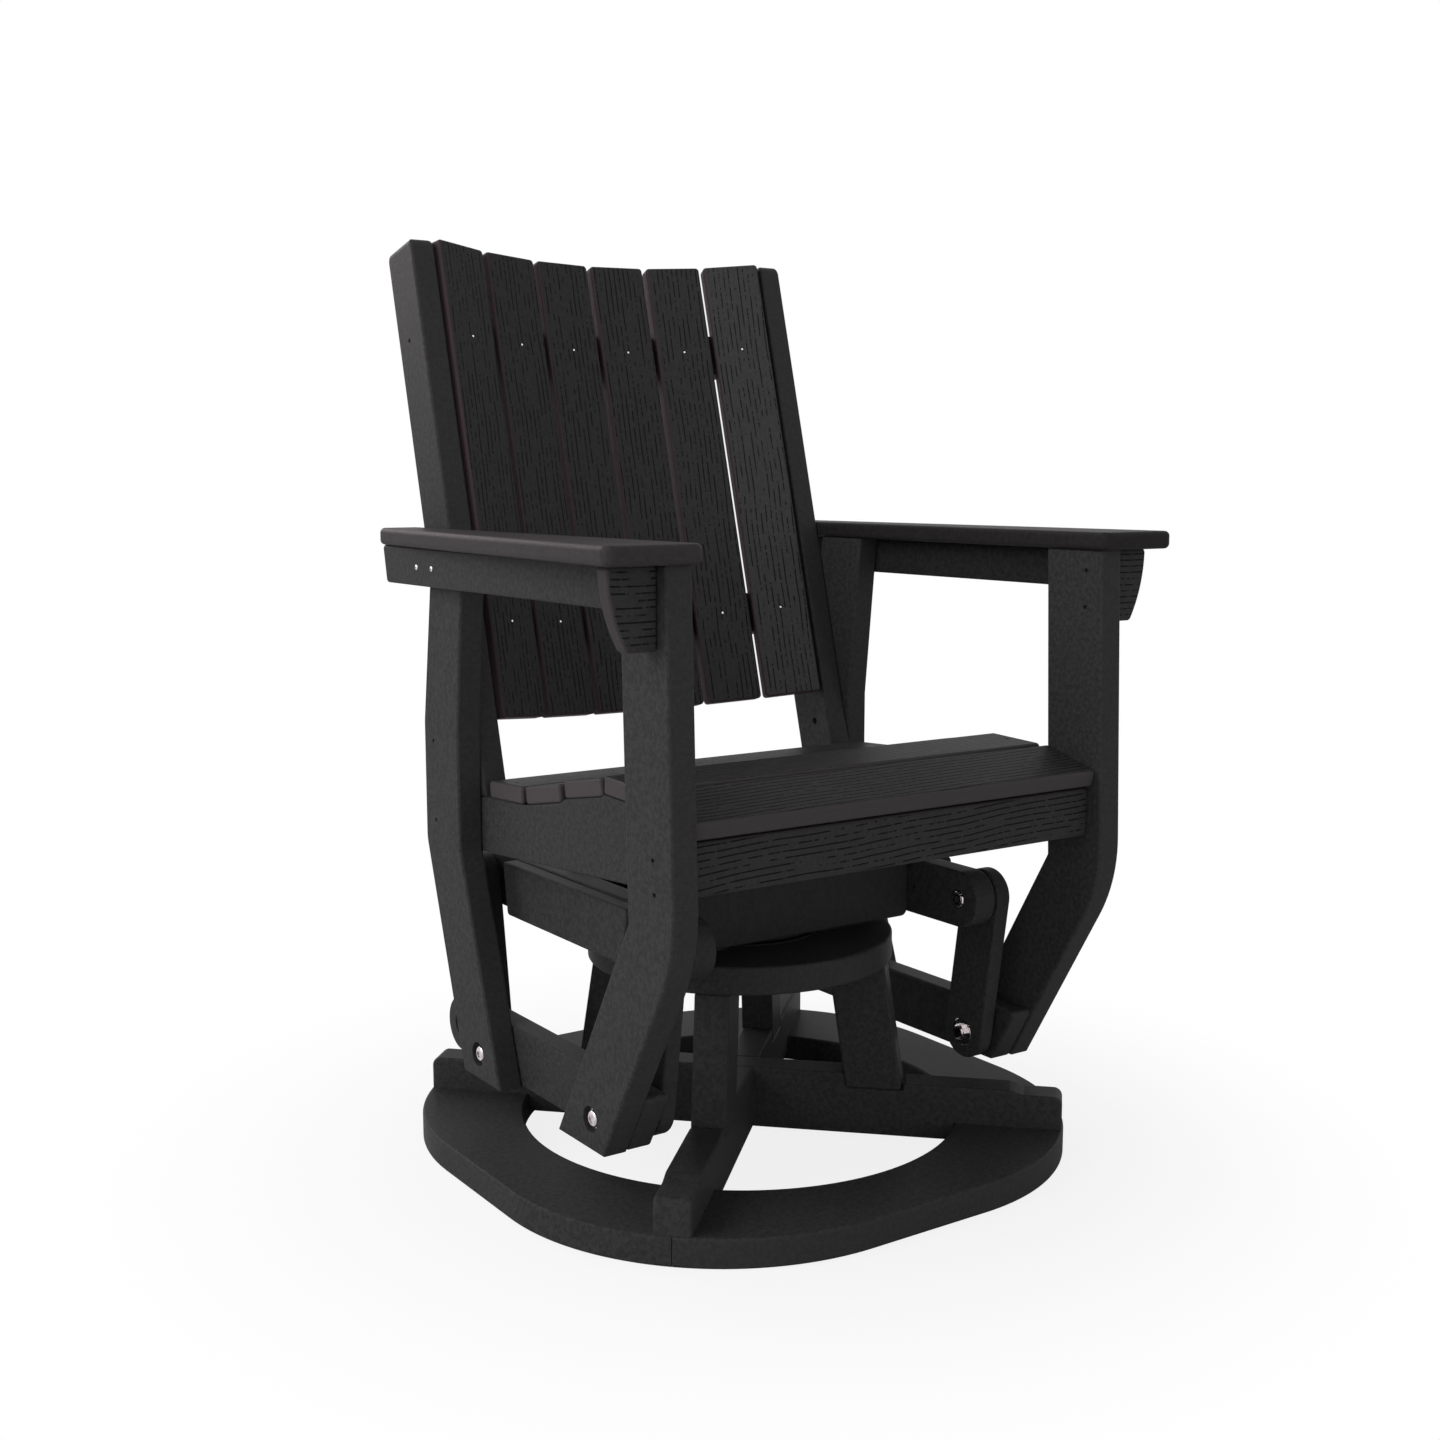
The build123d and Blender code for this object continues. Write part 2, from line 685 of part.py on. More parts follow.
# Hollow of the back: the slats' front faces touch an arc whose middle lies in front of the back
half_span = chair_in - back_side_gap
hollow_radius = (half_span**2 + back_hollow**2) / (2 * back_hollow)
hollow_depth = back_edge_depth + back_hollow - hollow_radius
arc_length = 2 * hollow_radius * asin(half_span / hollow_radius)
back_slat_width = (arc_length - (back_slat_count - 1) * back_slat_gap) / back_slat_count
slat_turn = (back_slat_width + back_slat_gap) / hollow_radius
slat_angles = [(index - (back_slat_count - 1) / 2) * slat_turn for index in range(back_slat_count)]
support_levels = (("lower", support_low), ("upper", support_high))


def slat_face(angle, up):
    """Plane on the front face of the back slat at the angle, facing the sitter."""
    across = Vector(cos(angle), 0, 0) - back_rear * sin(angle)
    depth = hollow_depth + hollow_radius * cos(angle)
    middle = back_origin + Vector(hollow_radius * sin(angle), 0, 0) + back_rear * depth + back_up * up
    return Plane(origin=middle, x_dir=across, z_dir=across.cross(back_up))


# Back slats, counted from the left, each with a screw hole at both supports
for index, angle in enumerate(slat_angles):
    with BuildPart() as back_slat:
        with BuildSketch(slat_face(angle, back_slat_bottom)):
            RectangleRounded(
                back_slat_width, back_slat_length, board_corner, align=(Align.CENTER, Align.MIN)
            )
        extrude(amount=-slat_thick)
        along_thickness = Axis((0, 0, 0), slat_face(angle, 0).z_dir)
        fillet(edges().filter_by(along_thickness, reverse=True), edge_round)
        for _, level in support_levels:
            with Locations(slat_face(angle, level)):
                Hole(screw_radius + screw_play, depth=slat_thick + cut_over)
    save(back_slat, f"back_slat_{index + 1}")

# Curved supports behind the slats, with a flat for each slat
back_face_radius = hollow_radius + slat_thick
facet_radius = back_face_radius / cos(slat_turn / 2)
rear_radius = back_face_radius + frame_thick
end_angle = slat_angles[-1]
front_end_depth = hollow_depth + (back_face_radius - chair_in * sin(end_angle)) / cos(end_angle)
rear_end_depth = hollow_depth + sqrt(rear_radius**2 - chair_in**2)
facet_corners = []
for angle in slat_angles[:-1]:
    corner_angle = angle + slat_turn / 2
    corner_depth = hollow_depth + facet_radius * cos(corner_angle)
    facet_corners.append((facet_radius * sin(corner_angle), corner_depth))
for name, level in support_levels:
    with BuildPart() as back_support:
        middle = back_origin + back_up * (level - support_height / 2)
        with BuildSketch(Plane(origin=middle, x_dir=(1, 0, 0), z_dir=back_up)):
            with BuildLine():
                Polyline(
                    (-chair_in, rear_end_depth),
                    (-chair_in, front_end_depth),
                    *facet_corners,
                    (chair_in, front_end_depth),
                    (chair_in, rear_end_depth),
                )
                ThreePointArc(
                    (chair_in, rear_end_depth),
                    (0, hollow_depth + rear_radius),
                    (-chair_in, rear_end_depth),
                )
            make_face()
        extrude(amount=support_height)
        fillet(edges().filter_by(GeomType.CIRCLE), edge_round)
        for angle in slat_angles:
            with Locations(slat_face(angle, level)):
                Hole(screw_radius + screw_play, depth=slat_thick + screw_bite)
        support_end = back_origin + back_up * level + back_rear * support_screw_depth
        for end_face in (
            outward(chair_in, support_end.Y, support_end.Z),
            inward(-chair_in, support_end.Y, support_end.Z),
        ):
            with Locations(end_face):
                Hole(screw_radius + screw_play, depth=screw_bite)
    save(back_support, f"back_support_{name}")


def post_foot(face_y):
    """Foot of a post face that passes (face_y, back_foot_height), on the seat rails' top line."""
    lean = tan(lean_angle)
    fall = tan(radians(seat_slat_rise[0]))
    underside_y, underside = slat_underside(0, 0)
    reach = (underside - back_foot_height + fall * (underside_y - face_y)) / (1 + lean * fall)
    return (face_y + reach * lean, back_foot_height + reach)


# Back posts on the seat rails, inside the rear legs, with rounded upper ends
post_top_y = back_foot_y + (back_post_top - back_foot_height) * tan(lean_angle)
post_rear_y = back_foot_y + back_post_width / cos(lean_angle)
post_length = back_post_top / cos(lean_angle)
end_slope = lean_angle - back_post_rear_lift / back_post_width
post_end = Plane(
    origin=(chair_in + frame_thick / 2, post_top_y, chair_z + back_post_top),
    x_dir=(1, 0, 0),
    z_dir=(0, -cos(end_slope), sin(end_slope)),
)
with BuildPart() as back_post:
    with BuildSketch(side_plane(chair_in, chair_z)):
        with BuildLine():
            Polyline(
                post_foot(back_foot_y),
                post_foot(post_rear_y),
                (
                    post_top_y + back_post_width * cos(lean_angle),
                    back_post_top - back_post_width * sin(lean_angle) + back_post_rear_lift,
                ),
                (post_top_y, back_post_top),
                close=True,
            )
        make_face()
        fillet(vertices().sort_by(Axis.Y)[-2:], back_post_corner)
    extrude(amount=frame_thick)
    fillet(edges().filter_by(Axis.X, reverse=True), edge_round)
    with BuildSketch(post_end):
        Rectangle(frame_thick, post_length, align=(Align.CENTER, Align.MAX))
        fillet(vertices().group_by(Axis.Y)[-1], back_post_end_round)
    extrude(amount=post_length, both=True, mode=Mode.INTERSECT)
    for screw_y, screw_height in post_screws:
        with Locations(outward(chair_out, screw_y, chair_z + screw_height)):
            Hole(screw_radius + screw_play, depth=screw_bite)
    with Locations(inward(chair_in, inner_post_screw[0], chair_z + inner_post_screw[1])):
        CounterBoreHole(screw_radius + screw_play, inner_recess_radius, inner_recess_depth)
    for _, level in support_levels:
        support_end = back_origin + back_up * level + back_rear * support_screw_depth
        with Locations(outward(chair_out, support_end.Y, support_end.Z)):
            Hole(screw_radius + screw_play)
save_pair(back_post, "back_post")

# Arms on the legs, narrower at the rear
arm_z = chair_z + leg_height
with BuildPart() as arm:
    with BuildSketch(Plane.XY.offset(arm_z)):
        with BuildLine():
            Polyline(
                (chair_out - arm_front_overhang_in, arm_front_y),
                (leg_out + arm_front_overhang_out, arm_front_y),
                (chair_out + arm_rear_overhang_out, arm_rear_y),
                (chair_out + arm_rear_overhang_in, arm_rear_y),
                close=True,
            )
        make_face()
        fillet(vertices(), arm_corner)
    extrude(amount=slat_thick)
    fillet(edges().filter_by(Axis.Z, reverse=True), arm_round)
save_pair(arm, "arm")

# Aprons under the arms, outside the legs
with BuildPart() as apron:
    with BuildSketch(side_plane(leg_out, chair_z)):
        with BuildLine():
            Polyline(
                (apron_front_y, leg_height - apron_height),
                (apron_rear_y, leg_height - apron_height),
                (apron_rear_y + apron_end_slant, leg_height),
                (apron_front_y, leg_height),
                close=True,
            )
        make_face()
        fillet(vertices(), board_corner)
    extrude(amount=slat_thick)
    fillet(edges().filter_by(Axis.X, reverse=True), edge_round)
    for screw_y, screw_height in apron_screws:
        with Locations(outward(apron_out, screw_y, chair_z + screw_height)):
            Hole(screw_radius + screw_play)
save_pair(apron, "apron")

# Corbels at the front ends of the aprons, with a bowed outer edge
with BuildPart() as corbel:
    with BuildSketch(Plane.XZ.offset(-apron_front_y)):
        with BuildLine():
            Polyline(
                (leg_out + corbel_low_reach, arm_z - corbel_height),
                (leg_out, arm_z - corbel_height),
                (leg_out, arm_z),
                (leg_out + corbel_reach, arm_z),
            )
            ThreePointArc(
                (leg_out + corbel_reach, arm_z),
                (leg_out + corbel_mid_reach, arm_z - corbel_mid_drop),
                (leg_out + corbel_low_reach, arm_z - corbel_height),
            )
        make_face()
        fillet(vertices(), corbel_corner)
    extrude(amount=slat_thick)
    fillet(edges().filter_by(Axis.Y, reverse=True), edge_round)
    for screw_y, screw_height in corbel_screws:
        with Locations(inward(leg_out, screw_y, chair_z + screw_height)):
            Hole(screw_radius + screw_play, depth=screw_bite)
save_pair(corbel, "corbel")

# Lower pivot bolts, rear leg bolts and the bright screws of the aprons: each bolt has the place of its
# head, the place and size of its nut's washer, and its axis
foot_head_x = leg_out - recess_depth
rail_head_x = chair_out - recess_depth
link_nut_x = link_in - axial_gap
rail_nut_x = chair_in + nut_recess_depth
chair_bolt_places = (
    (foot_head_x, link_nut_x, link_washer_radius, front_lower_y, lower_pivot_z),
    (rail_head_x, link_nut_x, link_washer_radius, rear_lower_y, lower_pivot_z),
    (foot_head_x, rail_nut_x, washer_radius, rear_bolt_y, rear_bolt_z),
)
with BuildPart() as chair_bolts:
    for head_x, nut_x, nut_washer_radius, bolt_y, bolt_z in chair_bolt_places:
        tip_x = nut_x - washer_thick - nut_thick
        with BuildSketch(Plane(origin=(0, bolt_y, bolt_z), x_dir=(1, 0, 0), z_dir=(0, 0, 1))):
            with BuildLine():
                Polyline(*bolt_outline(head_x, tip_x), close=True)
            make_face()
        revolve(axis=Axis((0, bolt_y, bolt_z), (1, 0, 0)))
        with BuildSketch(side_plane(nut_x, bolt_z)):
            with Locations((bolt_y, 0)):
                Circle(nut_washer_radius)
        extrude(amount=-washer_thick)
        with BuildSketch(side_plane(nut_x - washer_thick, bolt_z)):
            with Locations((bolt_y, 0)):
                RegularPolygon(nut_radius, 6)
        extrude(amount=-nut_thick)
        with BuildSketch(side_plane(head_x + washer_thick + bolt_head_height, bolt_z)):
            with Locations((bolt_y, 0)):
                RegularPolygon(socket_radius, 6)
        extrude(amount=-socket_depth, mode=Mode.SUBTRACT)
    for screw_y, screw_height in apron_screws:
        with Locations(outward(apron_out, screw_y, chair_z + screw_height)):
            Cylinder(bright_head_radius, bright_head_height, align=(Align.CENTER, Align.CENTER, Align.MIN))
            Cylinder(screw_radius, slat_thick + screw_bite, align=(Align.CENTER, Align.CENTER, Align.MAX))
    mirror(about=Plane.YZ)
save(chair_bolts, "chair_bolts")

# Screws of the back and seat slats, a little below the slats' faces
slat_screw_faces = [slat_face(angle, level) for angle in slat_angles for _, level in support_levels]
slat_screw_faces += [slat_screw_face(index, side) for index in range(len(seat_slat_y)) for side in (-1, 1)]
slat_screw_length = slat_thick + screw_bite - 2 * screw_inset
with BuildPart() as slat_screws:
    for face in slat_screw_faces:
        with Locations(face.offset(-screw_inset)):
            Cylinder(screw_radius, slat_screw_length, align=(Align.CENTER, Align.CENTER, Align.MAX))
save(slat_screws, "slat_screws")

# Small dark screws of the legs, corbels and back posts
leg_screw_length = frame_thick + screw_bite - 2 * screw_inset
with BuildPart() as frame_screws:
    for screw_y, screw_height in front_leg_screws + rear_leg_screws + post_screws:
        with Locations(outward(leg_out - screw_inset, screw_y, chair_z + screw_height)):
            Cylinder(screw_radius, leg_screw_length, align=(Align.CENTER, Align.CENTER, Align.MAX))
    for screw_y, screw_height in corbel_screws:
        with Locations(inward(chair_out + screw_inset, screw_y, chair_z + screw_height)):
            Cylinder(screw_radius, leg_screw_length, align=(Align.CENTER, Align.CENTER, Align.MAX))
    for _, level in support_levels:
        support_end = back_origin + back_up * level + back_rear * support_screw_depth
        with Locations(outward(chair_out - screw_inset, support_end.Y, support_end.Z)):
            Cylinder(screw_radius, leg_screw_length, align=(Align.CENTER, Align.CENTER, Align.MAX))
    inner_head_x = chair_in + inner_recess_depth
    with Locations(inward(inner_head_x, inner_post_screw[0], chair_z + inner_post_screw[1])):
        Cylinder(screw_radius, leg_screw_length, align=(Align.CENTER, Align.CENTER, Align.MAX))
    mirror(about=Plane.YZ)
save(frame_screws, "frame_screws")
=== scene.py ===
"""Looks of a swivel glider chair of plastic boards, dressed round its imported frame."""

import logging
import math
from collections.abc import Iterable
from dataclasses import asdict, dataclass, replace
from enum import Enum

import bmesh
import bpy
import numpy as np
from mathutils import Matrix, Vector


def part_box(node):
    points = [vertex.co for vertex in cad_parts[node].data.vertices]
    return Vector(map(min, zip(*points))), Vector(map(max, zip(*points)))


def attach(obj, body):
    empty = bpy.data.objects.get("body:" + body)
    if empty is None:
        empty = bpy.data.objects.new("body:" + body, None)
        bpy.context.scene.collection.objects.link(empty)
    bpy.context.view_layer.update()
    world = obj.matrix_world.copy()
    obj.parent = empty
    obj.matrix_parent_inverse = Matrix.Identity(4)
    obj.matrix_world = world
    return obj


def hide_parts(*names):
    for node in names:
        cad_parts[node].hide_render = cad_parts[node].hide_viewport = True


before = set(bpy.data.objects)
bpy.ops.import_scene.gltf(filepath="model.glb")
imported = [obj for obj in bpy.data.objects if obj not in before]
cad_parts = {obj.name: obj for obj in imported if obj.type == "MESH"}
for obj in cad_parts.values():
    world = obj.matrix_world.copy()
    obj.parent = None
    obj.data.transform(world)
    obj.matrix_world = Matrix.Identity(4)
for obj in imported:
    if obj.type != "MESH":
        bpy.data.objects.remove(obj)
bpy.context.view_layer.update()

log = logging.getLogger("swivel_glider")
MM = 0.001
WELD = 0.001 * MM
SHARP_ANGLE = math.radians(32)
HEX_SIDES = 6
RIGHT, REAR, UP = Vector((1, 0, 0)), Vector((0, 1, 0)), Vector((0, 0, 1))
SIDES = ("left", "right")
WHITE = (1.0, 1.0, 1.0, 1.0)

Colour = tuple[float, float, float]
Place = tuple[float, float, float]
Profile = tuple[tuple[float, float], ...]


class Signal:
    """What flows out of one socket. Arithmetic on a number adds Math nodes."""

    def __init__(self, tree: "Tree", socket: bpy.types.NodeSocket) -> None:
        """Keep the tree and the socket."""
        self.tree = tree
        self.socket = socket

    def maths(self, operation: str, *terms: "Signal | float") -> "Signal":
        """Result of one Math node with these terms as its inputs, in order."""
        return self.tree.signal("ShaderNodeMath", {"operation": operation}, dict(enumerate(terms)))

    def __add__(self, other: "Signal | float") -> "Signal":
        """Sum."""
        return self.maths("ADD", self, other)

    def __radd__(self, other: float) -> "Signal":
        """Sum with a plain number first."""
        return self.maths("ADD", other, self)

    def __sub__(self, other: "Signal | float") -> "Signal":
        """Difference."""
        return self.maths("SUBTRACT", self, other)

    def __rsub__(self, other: float) -> "Signal":
        """Difference from a plain number."""
        return self.maths("SUBTRACT", other, self)

    def __mul__(self, other: "Signal | float") -> "Signal":
        """Product."""
        return self.maths("MULTIPLY", self, other)

    def __rmul__(self, other: float) -> "Signal":
        """Product with a plain number first."""
        return self.maths("MULTIPLY", other, self)

    def __truediv__(self, other: "Signal | float") -> "Signal":
        """Quotient."""
        return self.maths("DIVIDE", self, other)

    def __rtruediv__(self, other: float) -> "Signal":
        """Quotient of a plain number by this one."""
        return self.maths("DIVIDE", other, self)

    def __abs__(self) -> "Signal":
        """Size without the sign."""
        return self.maths("ABSOLUTE", self)

    def floor(self) -> "Signal":
        """Whole number below."""
        return self.maths("FLOOR", self)

    def fraction(self) -> "Signal":
        """What is left over the whole number below."""
        return self.maths("FRACT", self)

    def most(self, other: "Signal | float") -> "Signal":
        """The larger of two numbers."""
        return self.maths("MAXIMUM", self, other)

    def ramp(self, start: float, end: float) -> "Signal":
        """Smooth step from 0 at start to 1 at end."""
        limits = {"Value": self, "From Min": start, "From Max": end}
        return self.tree.signal("ShaderNodeMapRange", {"interpolation_type": "SMOOTHSTEP"}, limits)


class Tree:
    """A node tree under construction, of a material or of geometry."""

    def __init__(self, tree: bpy.types.NodeTree) -> None:
        """Keep the tree and empty it."""
        self.tree = tree
        self.tree.nodes.clear()

    def add(
        self,
        kind: str,
        settings: dict[str, object] | None = None,
        sockets: dict[int | str, object] | None = None,
    ) -> bpy.types.Node:
        """Add a node of any type.

        Args:
            kind: The node's type.
            settings: Its properties, set before the sockets.
            sockets: Value, signal or tuple of signals for each input, by name or place.

        Returns:
            The new node.
        """
        node = self.tree.nodes.new(kind)
        for name, value in (settings or {}).items():
            setattr(node, name, value)
        for key, value in (sockets or {}).items():
            if isinstance(value, Signal):
                self.tree.links.new(value.socket, node.inputs[key])
            elif isinstance(value, tuple) and isinstance(value[0], Signal):
                for part in value:
                    self.tree.links.new(part.socket, node.inputs[key])
            else:
                node.inputs[key].default_value = value
        return node

    def signal(
        self,
        kind: str,
        settings: dict[str, object] | None = None,
        sockets: dict[int | str, object] | None = None,
        output: int | str = 0,
    ) -> Signal:
        """Add a node and take one of its outputs, by name or place."""
        return Signal(self, self.add(kind, settings, sockets).outputs[output])


class Paint(Tree):
    """Node tree of one material."""

    MIX_FACTOR = 0
    MIX_FIRST = 6
    MIX_SECOND = 7
    MIX_COLOUR = 2

    def __init__(self, name: str) -> None:
        """Start an empty material."""
        self.material = bpy.data.materials.new(name)
        self.material.use_nodes = True
        super().__init__(self.material.node_tree)
        self.place = self.signal("ShaderNodeTexCoord", output="Object")
        self.facing = self.signal("ShaderNodeTexCoord", output="Normal")

    def reach(self, vector: Signal, direction: Vector) -> Signal:
        """How far a place or normal reaches along a unit direction."""
        sockets = {0: vector, 1: direction}
        return self.signal("ShaderNodeVectorMath", {"operation": "DOT_PRODUCT"}, sockets, "Value")

    def noise(
        self, vector: Signal, scale: float, detail: float = 2.0, rough: float = 0.5
    ) -> Signal:
        """Soft noise from about 0 to 1, with scale blotches in a metre and finer layers on them."""
        sockets = {"Vector": vector, "Scale": scale, "Detail": detail, "Roughness": rough}
        return self.signal("ShaderNodeTexNoise", {"noise_dimensions": "3D"}, sockets, "Fac")

    def blend(self, factor: Signal, first: Colour | Signal, second: Colour | Signal) -> Signal:
        """Colour between two linear colours.

        Args:
            factor: 0 gives the first and 1 the second.
            first: A plain colour or a signal of one.
            second: A plain colour or a signal of one.

        Returns:
            The mixed colour, from the Mix node's colour sockets.
        """
        ends = [end if isinstance(end, Signal) else (*end, 1.0) for end in (first, second)]
        sockets = {self.MIX_FACTOR: factor, self.MIX_FIRST: ends[0], self.MIX_SECOND: ends[1]}
        return self.signal("ShaderNodeMix", {"data_type": "RGBA"}, sockets, self.MIX_COLOUR)

    def scaled(self, colour: Signal, factor: Signal) -> Signal:
        """Colour made lighter or darker by a factor."""
        sockets = {0: colour, "Scale": factor}
        return self.signal("ShaderNodeVectorMath", {"operation": "SCALE"}, sockets, "Vector")

    def relief(self, height: Signal, depth: float, under: Signal | None = None) -> Signal:
        """Normal of a surface with a relief.

        Args:
            height: Relief from 0 to 1.
            depth: Metres from its lowest to its highest point.
            under: Normal of another relief that it lies on, if any.

        Returns:
            The normal.
        """
        sockets = {"Height": height, "Distance": depth, "Strength": 1.0}
        if under:
            sockets["Normal"] = under
        return self.signal("ShaderNodeBump", {}, sockets, "Normal")

    def surface(self, sockets: dict[str, object]) -> bpy.types.Material:
        """Close the tree with a Principled shader that has these inputs."""
        shader = self.signal("ShaderNodeBsdfPrincipled", {}, sockets, "BSDF")
        self.add("ShaderNodeOutputMaterial", {}, {"Surface": shader})
        return self.material


class Run(Enum):
    """Which way the pressed grain runs on a board."""

    LENGTHWISE = "along the board"
    CROSSWISE = "across the board"


@dataclass(frozen=True)
class Emboss:
    """Broken lines pressed into a board's broad faces, with sizes in metres.

    The colour edge is that of the board's narrow sides: lighter and pinker than the faces, partly
    the plastic's own tone and partly painted pink sheen of the lamps on rounded edges. A line
    breaks off where a noise is under bare.
    """

    bare: float = 0.48
    # partly painted sheen: pinkish colour of the narrow sides, for the lamps' shine on rounded
    # edges
    edge: Colour = (0.043, 0.038, 0.04)
    dash_length: float = 62 * MM
    pitch: float = 6.5 * MM
    line_share: float = 0.21
    line_softness: float = 0.5
    depth: float = 0.45 * MM
    # painted shade: the pressed lines are darkened by this share, for the shade in the grooves
    shade: float = 0.8
    breaks: float = 0.03
    dash_detail: float = 5.0
    dash_rough: float = 0.88
    wander: float = 8.8 * MM
    wander_scale: float = 7.0
    lane_step: float = 7.31

    def pressed(self, paint: Paint, board: "Axes", run: Run) -> Signal:
        """Depth of the lines over a board's faces.

        Args:
            paint: The material's tree.
            board: Directions of the board.
            run: Which way the lines run.

        Returns:
            0 where the board is plain and 1 where it is pressed deepest.
        """
        length, width = board.long, board.wide
        if run is Run.CROSSWISE:
            length, width = width, length
        drift = paint.noise(paint.place, self.wander_scale)
        across = paint.reach(paint.place, width) + (drift - 0.5) * self.wander
        lane = across / self.pitch
        along = paint.reach(paint.place, length) / self.dash_length
        sockets = {0: lane.floor() * self.lane_step, 1: along}
        spot = paint.signal("ShaderNodeCombineXYZ", {}, sockets)
        dash = paint.noise(spot, 1.0, self.dash_detail, self.dash_rough)
        off = abs(lane.fraction() - 0.5) * 2.0
        inner, outer = (self.line_share * (1.0 + sign * self.line_softness) for sign in (-1, 1))
        line = 1.0 - off.ramp(inner, outer)
        return line * dash.ramp(self.bare - self.breaks, self.bare + self.breaks)


@dataclass(frozen=True)
class LumberFinish:
    """Near-black plastic lumber: matt, finely mottled, with lines pressed into some boards.

    The mottling keeps only a share of its strength on faces that look to the front or rear. Its
    full strength on the other faces is partly painted sheen, the blotchy shine of the key lamp.
    """

    dark: Colour = (0.0272, 0.0272, 0.0274)
    light: Colour = (0.0418, 0.0414, 0.0417)
    blotch_scale: float = 190.0
    blotch_detail: float = 3.0
    blotch_from: float = 0.3
    blotch_to: float = 0.7
    speckle_scale: float = 760.0
    speckle: float = 0.2
    layer_rough: float = 0.6
    roughness: float = 0.46
    roughness_spread: float = 0.1
    gloss: float = 0.03
    skin_depth: float = 0.22 * MM
    skin_speckle: float = 0.6
    broad_from: float = 0.86
    broad_to: float = 0.95
    calm: float = 0.4
    front_from: float = 0.6
    front_to: float = 0.9

    def toned(self, factor: float) -> "LumberFinish":
        """Same finish, lighter or darker by a factor: painted light or painted shade on a copy."""
        ends = {"dark": self.dark, "light": self.light}
        return replace(self, **{end: tuple(part * factor for part in ends[end]) for end in ends})

    def material(
        self,
        name: str,
        emboss: Emboss | None = None,
        board: "Axes | None" = None,
        run: Run = Run.LENGTHWISE,
    ) -> bpy.types.Material:
        """Make the finish of one board or of a group of plain boards.

        Args:
            name: The material's name.
            emboss: Lines pressed into it, if any.
            board: Directions of the board that carries the lines.
            run: Which way the lines run.

        Returns:
            The material.
        """
        paint = Paint(name)
        blotch = paint.noise(paint.place, self.blotch_scale, self.blotch_detail, self.layer_rough)
        speckle = paint.noise(paint.place, self.speckle_scale, rough=self.layer_rough)
        # painted sheen: full mottle on faces that turn to the lamps, calmer on front and rear faces
        sheenless_face = abs(paint.reach(paint.facing, REAR)).ramp(self.front_from, self.front_to)
        spread = 1.0 - sheenless_face * (1.0 - self.calm)
        mottle = (blotch.ramp(self.blotch_from, self.blotch_to) - 0.5) * spread + 0.5
        colour = paint.blend(mottle, self.dark, self.light)
        shade = 1.0 + (speckle - 0.5) * (2.0 * self.speckle)
        skin = speckle * self.skin_speckle + blotch * (1.0 - self.skin_speckle)
        normal = paint.relief(skin, self.skin_depth)
        if emboss and board:
            broad = abs(paint.reach(paint.facing, board.thin)).ramp(self.broad_from, self.broad_to)
            # narrow sides take the edge colour, partly painted pink sheen
            colour = paint.blend(broad, emboss.edge, colour)
            groove = emboss.pressed(paint, board, run) * broad
            # the grooves are darkened here as painted shade
            shade = shade * (1.0 - groove * emboss.shade)
            normal = paint.relief(1.0 - groove, emboss.depth, normal)
        roughness = self.roughness + (blotch - 0.5) * (2.0 * self.roughness_spread)
        return paint.surface(
            {
                "Base Color": paint.scaled(colour, shade),
                "Roughness": roughness,
                "Specular IOR Level": self.gloss,
                "Normal": normal,
            }
        )


@dataclass(frozen=True)
class SteelFinish:
    """Stainless steel, finely brushed by turning."""

    # painted reflection: both colours are tinted pink, for the pink-lit boards that the steel
    # mirrors
    dark: Colour = (0.66, 0.6, 0.61)
    light: Colour = (0.88, 0.84, 0.85)
    roughness: float = 0.13
    roughness_spread: float = 0.06
    scratch_scale: float = 2200.0
    scratch_depth: float = 0.02 * MM
    stain_scale: float = 260.0
    stain_detail: float = 3.0
    stain_from: float = 0.3
    stain_to: float = 0.7

    def material(self, name: str) -> bpy.types.Material:
        """Make the finish.

        Args:
            name: The material's name.

        Returns:
            The material.
        """
        paint = Paint(name)
        stain = paint.noise(paint.place, self.stain_scale, self.stain_detail)
        scratch = paint.noise(paint.place, self.scratch_scale)
        stained = stain.ramp(self.stain_from, self.stain_to)
        return paint.surface(
            {
                "Base Color": paint.blend(stained, self.dark, self.light),
                "Metallic": 1.0,
                "Roughness": self.roughness + (scratch - 0.5) * (2.0 * self.roughness_spread),
                "Normal": paint.relief(scratch, self.scratch_depth),
            }
        )


@dataclass(frozen=True)
class CoatedFinish:
    """Black coated steel of the small screws. The bearing's races get it as painted shade, dark
    to stand for the shade under the seat.
    """

    colour: Colour = (0.012, 0.012, 0.012)
    worn: Colour = (0.04, 0.04, 0.04)
    roughness: float = 0.6
    roughness_spread: float = 0.1
    gloss: float = 0.15
    wear_scale: float = 700.0
    wear_detail: float = 3.0
    wear_depth: float = 0.03 * MM
    wear_from: float = 0.55
    wear_to: float = 0.8

    def material(self, name: str) -> bpy.types.Material:
        """Make the finish.

        Args:
            name: The material's name.

        Returns:
            The material.
        """
        paint = Paint(name)
        wear = paint.noise(paint.place, self.wear_scale, self.wear_detail)
        bared = wear.ramp(self.wear_from, self.wear_to)
        return paint.surface(
            {
                "Base Color": paint.blend(bared, self.colour, self.worn),
                "Roughness": self.roughness + (wear - 0.5) * (2.0 * self.roughness_spread),
                "Specular IOR Level": self.gloss,
                "Normal": paint.relief(wear, self.wear_depth),
            }
        )


